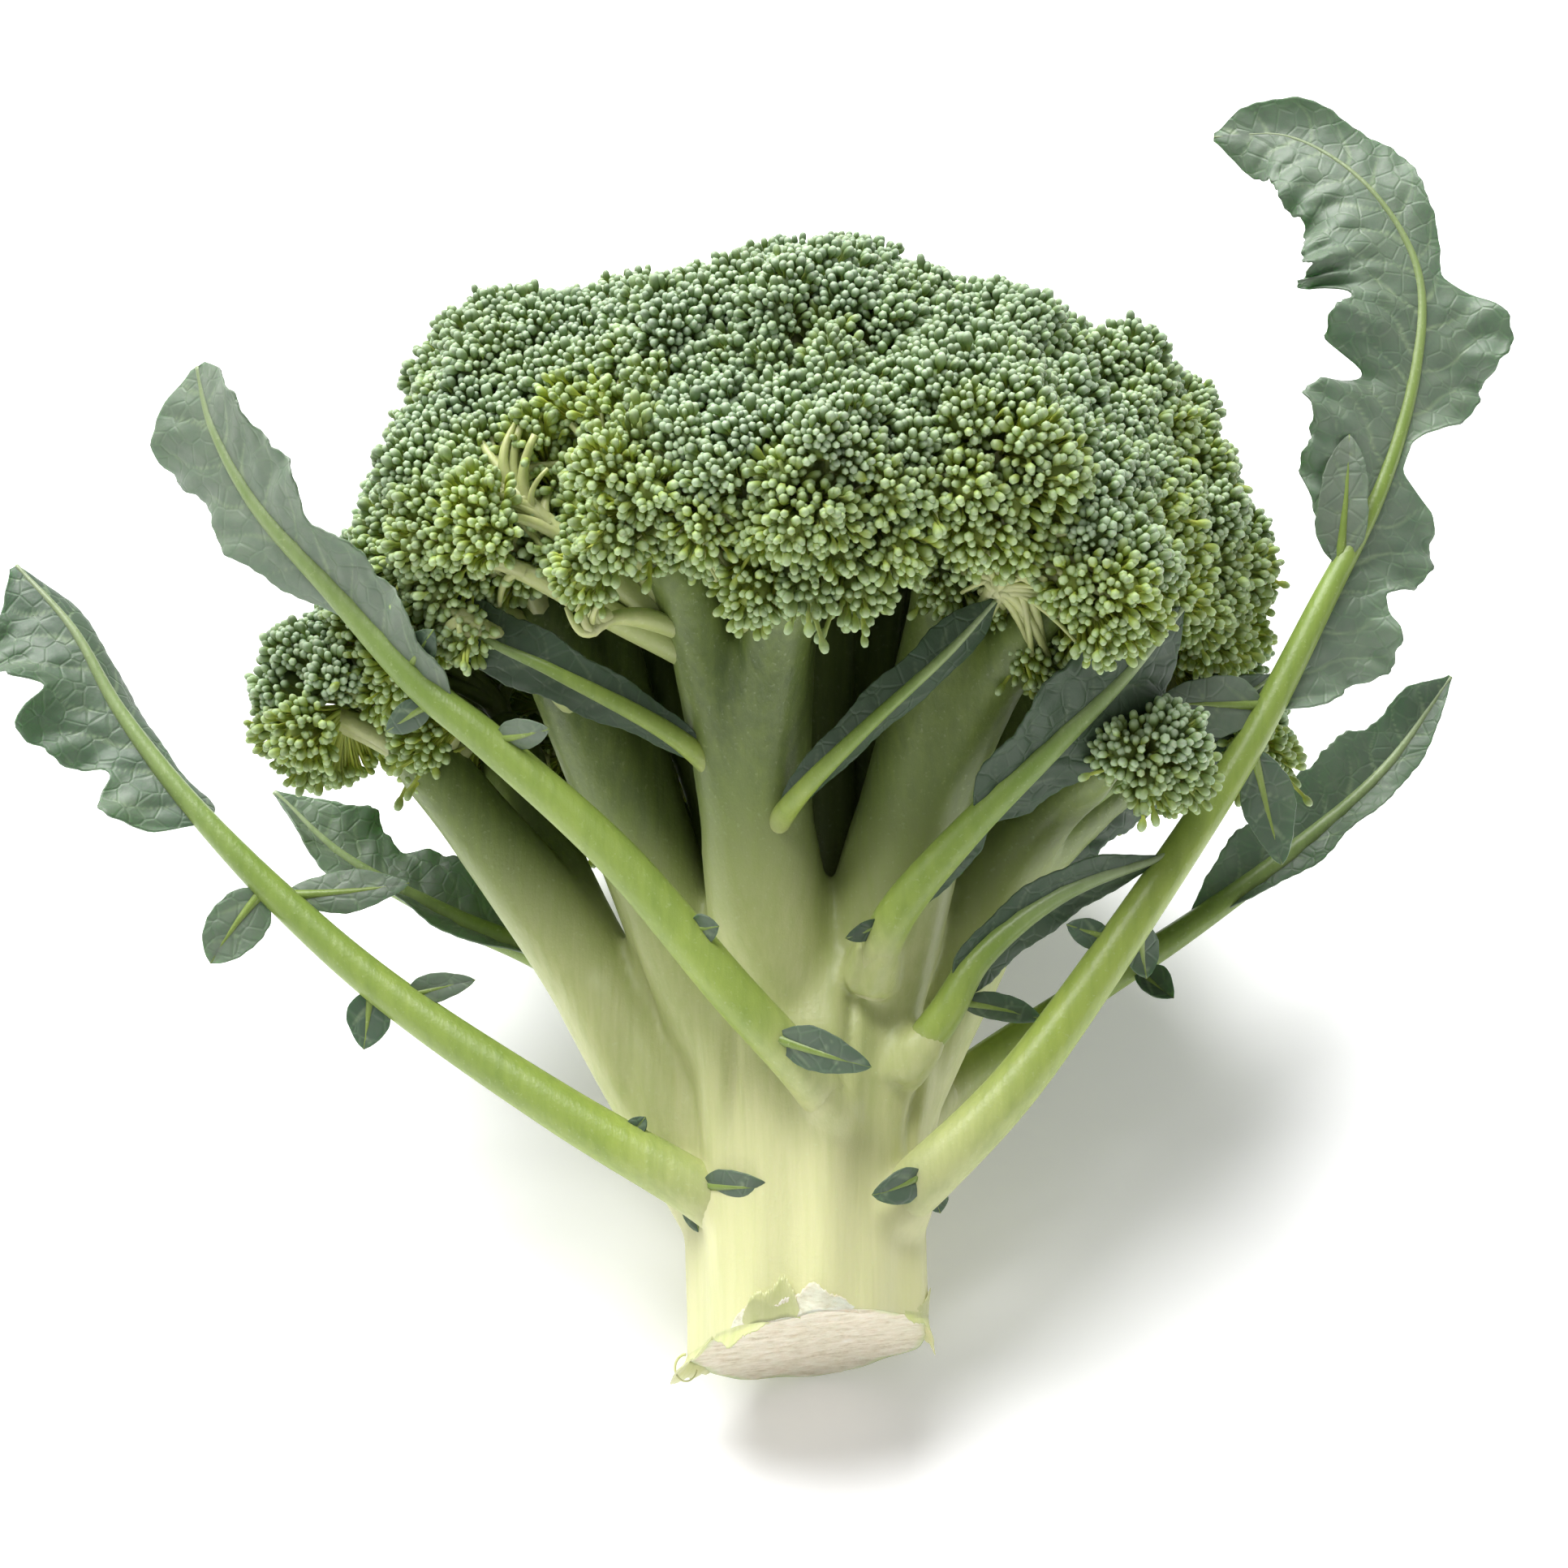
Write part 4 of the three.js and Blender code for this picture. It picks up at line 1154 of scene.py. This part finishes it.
def half_blade(rib, face, wide, half, fold, curl, ruffle, rng):
    """One half of a blade, 0 left or 1 right: corners (R, C, 3), and how much of a vein each one is."""
    _, side, normal = leaf_axes(rib, face)
    length = lengths(rib)
    phase = rng.uniform(0, TURN, 4)
    across = np.linspace(0, 1, HALF_COLUMNS)
    teeth = 0.03 * np.abs(wave(length, TOOTH_WAVE, phase[0])) + 0.015 * wave(length, 2.3, phase[1])
    wide = np.maximum(wide * (1 + teeth + 0.07 * wave(length, 13, phase[2])), LEAST_WIDTH)
    angle = np.radians(fold + curl * across**1.5)[None, :, None]
    out = np.cos(angle) * (2 * half - 1) * side[:, None] + np.sin(angle) * normal[:, None]
    step = np.diff(across, prepend=0)[None, :, None] * wide[:, None, None]
    place = rib[:, None] + np.cumsum(out * step, axis=1)
    sway = np.sin(length * TURN / 21 + phase[3] + 0.8 * np.sin(length / 12))
    sway = sway + 0.45 * wave(length, 6.3, phase[1]) * smooth_step(wide, 5, 12)
    swell = np.minimum(wide / FULL_WIDTH, 1.3)[:, None] * across[None] ** 2 * sway[:, None] * ruffle
    beside = across[None] * wide[:, None]
    run = (length[:, None] - beside * (0.62 + 0.25 * across[None])) / VEIN_SPACING
    run = run + 0.5 * half + 0.12 * np.sin(length * 0.7)[:, None]
    away = np.abs(run - np.round(run)) * VEIN_SPACING * 0.8
    vein = np.exp(-((away / (0.42 - 0.2 * across[None])) ** 2)) * (1 - 0.55 * across[None])
    fine = run * 3.1 + beside * 0.35
    small = np.abs(fine - np.round(fine))
    vein = np.maximum(vein, 0.25 * np.exp(-((small * 2.1 / 0.3) ** 2)) * (1 - across[None]))
    puff = VEIN_RELIEF * np.cos(TURN * run) * smooth_step(across, 0.1, 0.4)[None]
    puff = puff * (1 - smooth_step(across, 0.75, 1))[None]
    raised = swell - puff * np.minimum(wide / FULL_WIDTH, 1)[:, None]
    return place + normal[:, None] * raised[..., None], vein


def add_blade(skin, rib, face, widths, fold, curl, ruffle, back, deep, rng):
    """One leaf blade along a rib (R, 3): widths (2, R), folds and curls in degrees for left and right."""
    halves = [half_blade(rib, face, widths[k], k, fold[k], curl[k], ruffle, rng) for k in (0, 1)]
    middle, vein = (np.concatenate([left[:, ::-1], right[:, 1:]], 1) for left, right in zip(*halves))
    length = lengths(rib)
    ends = np.minimum(1, np.minimum(length, length[-1] - length) / 2)
    upright = unit(np.cross(np.gradient(middle, axis=1), np.gradient(middle, axis=0)))
    normal = leaf_axes(rib, face)[2]
    upright = upright * np.sign(np.sum(upright * normal[:, None], 2, keepdims=True).mean())
    span = np.abs(np.linspace(-1, 1, 2 * HALF_COLUMNS - 1))[None]
    thick = LEAF_THICKNESS * (0.55 + 0.45 * (1 - span**2)) * (0.3 + 0.7 * ends)[:, None]
    relief = VEIN_RELIEF * vein * (1 - span)
    top = middle + upright * (thick / 2 - 0.4 * relief)[..., None]
    bottom = middle - upright * (thick / 2 + relief)[..., None]
    # the third number of each tone is the blade's painted shade (deep)
    tone_top = tone_of(vein.shape, vein * 0.75, back, deep)
    tone_low = tone_of(vein.shape, vein, max(back, 0.8), deep)
    skin.loft(np.concatenate([top, bottom[:, ::-1]], 1), np.concatenate([tone_top, tone_low[:, ::-1]], 1), 0)


def add_leaflet(skin, rib, along, side, normal, leaflet, stem, deep, rng):
    """A small blade on its own stem, from one point of a leaf stem with that radius."""
    _, sign, length, half, lean, lift, back = leaflet
    angle = math.radians(lean)
    way = unit(sign * side * math.cos(angle) + along * math.sin(angle))
    count = max(10, int(length / LEAF_STEP))
    t = np.linspace(0, 1, count)
    raised = 0.55 if lean < -45 and lift > 0 else 0  # one that lies back over the stem starts on its face
    start = rib + way * stem * 0.5 + normal * stem * raised
    bend = rng.uniform(-0.1, 0.1) * length
    points = start + way * (t * length)[:, None] + normal * (lift * np.sin(t * 1.7))[:, None]
    points = points + along * (bend * t**2)[:, None]
    profile = half * np.sin(np.pi * t**0.85) ** 0.7
    fold = rng.uniform(-18, 24, 2)
    widths = np.stack([profile, profile * rng.uniform(0.75, 1.0)])
    curl = rng.uniform(-30, 30, 2)
    add_blade(skin, points, normal, widths, fold, curl, 0.6, 0.8 if back else 0.05, deep, rng)
    thin = np.interp(t, [0, 1], [min(0.9, half * 0.28), 0.12])
    skin.tubes(points[None], thin[None], 8, tone_of((1, count), 0.5, 0.5, 0), 1)


def build_leaves():
    """Every leaf: its stem, its blade and the leaflets on its stem."""
    for order, (name, leaf) in enumerate(LEAVES.items()):
        rng = np.random.default_rng(100 + order)
        face = np.array(leaf["face"], float)
        stops = len(leaf["rib"]) - 1
        rough = spline(leaf["rib"], 40 * stops)
        length = lengths(rough)
        even = np.arange(0, length[-1], LEAF_STEP)
        place = np.interp(even, length, np.linspace(0, stops, len(rough)))
        rib = np.stack([np.interp(even, length, rough[:, k]) for k in range(3)], 1)
        along, side, normal = leaf_axes(rib, face)
        stem = eased(np.interp(place, np.arange(stops + 1), leaf["stem"]), 6)
        skin = Skin()
        tone = tone_of(place.shape, np.clip(place / stops, 0, 1), 0.5, 0)
        skin.tubes(rib[None], stem[None], 18, tone[None], 1)
        widths = np.stack([eased(stations(leaf[k], place), 4) for k in ("left", "right")])
        begin = max(0, np.argmax(widths.max(0) > 0.05) - 2)
        add_blade(skin, rib[begin:], face, widths[:, begin:], leaf["fold"], leaf["curl"], leaf["ruffle"],
                  leaf["back"], leaf["deep"], rng)
        # leaflets by the stalk get at least this much painted shade
        deep = max(0.3, leaf["deep"])
        for leaflet in leaf["leaflets"]:
            i = int(np.argmin(np.abs(place - leaflet[0])))
            add_leaflet(skin, rib[i], along[i], side[i], normal[i], leaflet, stem[i], deep, rng)
        settle(skin.make(name + "_blade", [BLADE, PETIOLE]), "leaf", name)


# ---------------------------------------------------------------- surroundings

VIEW_ELEVATION = math.radians(42)
VIEW_DISTANCE = 0.386  # metres
VIEW_LENS = 60.0  # millimetres
AIM = np.array([-0.0041, 0.0533, 0.0592])  # from the middle of the cut to the middle of the picture
BACKDROP_SIZE = 60.0  # half the floor's width, in metres
FLOOR_GLOW = 0.22
WORLD_LIGHT = 0.27  # the light from all round
BACKDROP_LEVEL = 0.95  # how pale the backdrop looks
KEY_WAY = (-0.30, 0.46, 1.0)  # from the head towards the middle of the key light
KEY_STRENGTH = 6.3
KEY_SPREAD = math.radians(52)
FILL_WAY = (-0.7, -0.9, 0.45)
FILL_DISTANCE = 1.4
FILL_SIZE = 0.8
FILL_POWER = 1.2


def make_camera():
    """The camera at the photograph's angle."""
    data = bpy.data.cameras.new("camera")
    data.lens = VIEW_LENS
    data.clip_start = 0.01
    camera = new_object("camera", data)
    back = np.array([0, -math.cos(VIEW_ELEVATION), math.sin(VIEW_ELEVATION)])
    camera.location = ROOT + AIM + back * VIEW_DISTANCE
    camera.rotation_euler = (math.pi / 2 - VIEW_ELEVATION, 0, 0)
    bpy.context.scene.camera = camera


def make_floor():
    """A plain pale floor that runs out of sight."""
    mesh = bpy.data.meshes.new("floor")
    s = BACKDROP_SIZE
    mesh.from_pydata([(-s, -s, 0), (s, -s, 0), (s, s, 0), (-s, s, 0)], [], [(0, 1, 2, 3)])
    n = Nodes("pale_floor")
    n.put(n.shader, "Emission Color", (1, 1, 1, 1))
    n.put(n.shader, "Emission Strength", FLOOR_GLOW)
    mesh.materials.append(n.finish((0.93, 0.93, 0.94, 1), 0.7))
    new_object("floor", mesh)


def make_world():
    """White light from all round, which the camera sees as a paler backdrop."""
    world = bpy.data.worlds.new("studio")
    bpy.context.scene.world = world
    world.use_nodes = True
    tree = world.node_tree
    background = tree.nodes["Background"].inputs
    background["Color"].default_value = (1, 1, 1, 1)
    seen = tree.nodes.new("ShaderNodeLightPath").outputs["Is Camera Ray"]
    level = tree.nodes.new("ShaderNodeMapRange")
    level.inputs["To Min"].default_value = WORLD_LIGHT
    level.inputs["To Max"].default_value = BACKDROP_LEVEL
    tree.links.new(seen, level.inputs["Value"])
    tree.links.new(level.outputs["Result"], background["Strength"])


def make_light():
    """A broad key light from above and behind, and a weak fill from the front left."""
    key = bpy.data.lights.new("key", "SUN")
    key.energy = KEY_STRENGTH
    key.angle = KEY_SPREAD
    new_object("key", key).rotation_euler = Vector(KEY_WAY).to_track_quat("Z", "Y").to_euler()
    fill = bpy.data.lights.new("fill", "AREA")
    fill.size = FILL_SIZE
    fill.energy = FILL_POWER
    lamp = new_object("fill", fill)
    back = Vector(FILL_WAY).normalized()
    lamp.location = Vector((np.array(cad_box[0]) + np.array(cad_box[1])) / 2) + back * FILL_DISTANCE
    lamp.rotation_euler = back.to_track_quat("Z", "Y").to_euler()
    bpy.context.scene.view_settings.view_transform = "Standard"


make_camera()
make_floor()
make_world()
make_light()
build_florets()
build_stalk()
build_leaves()
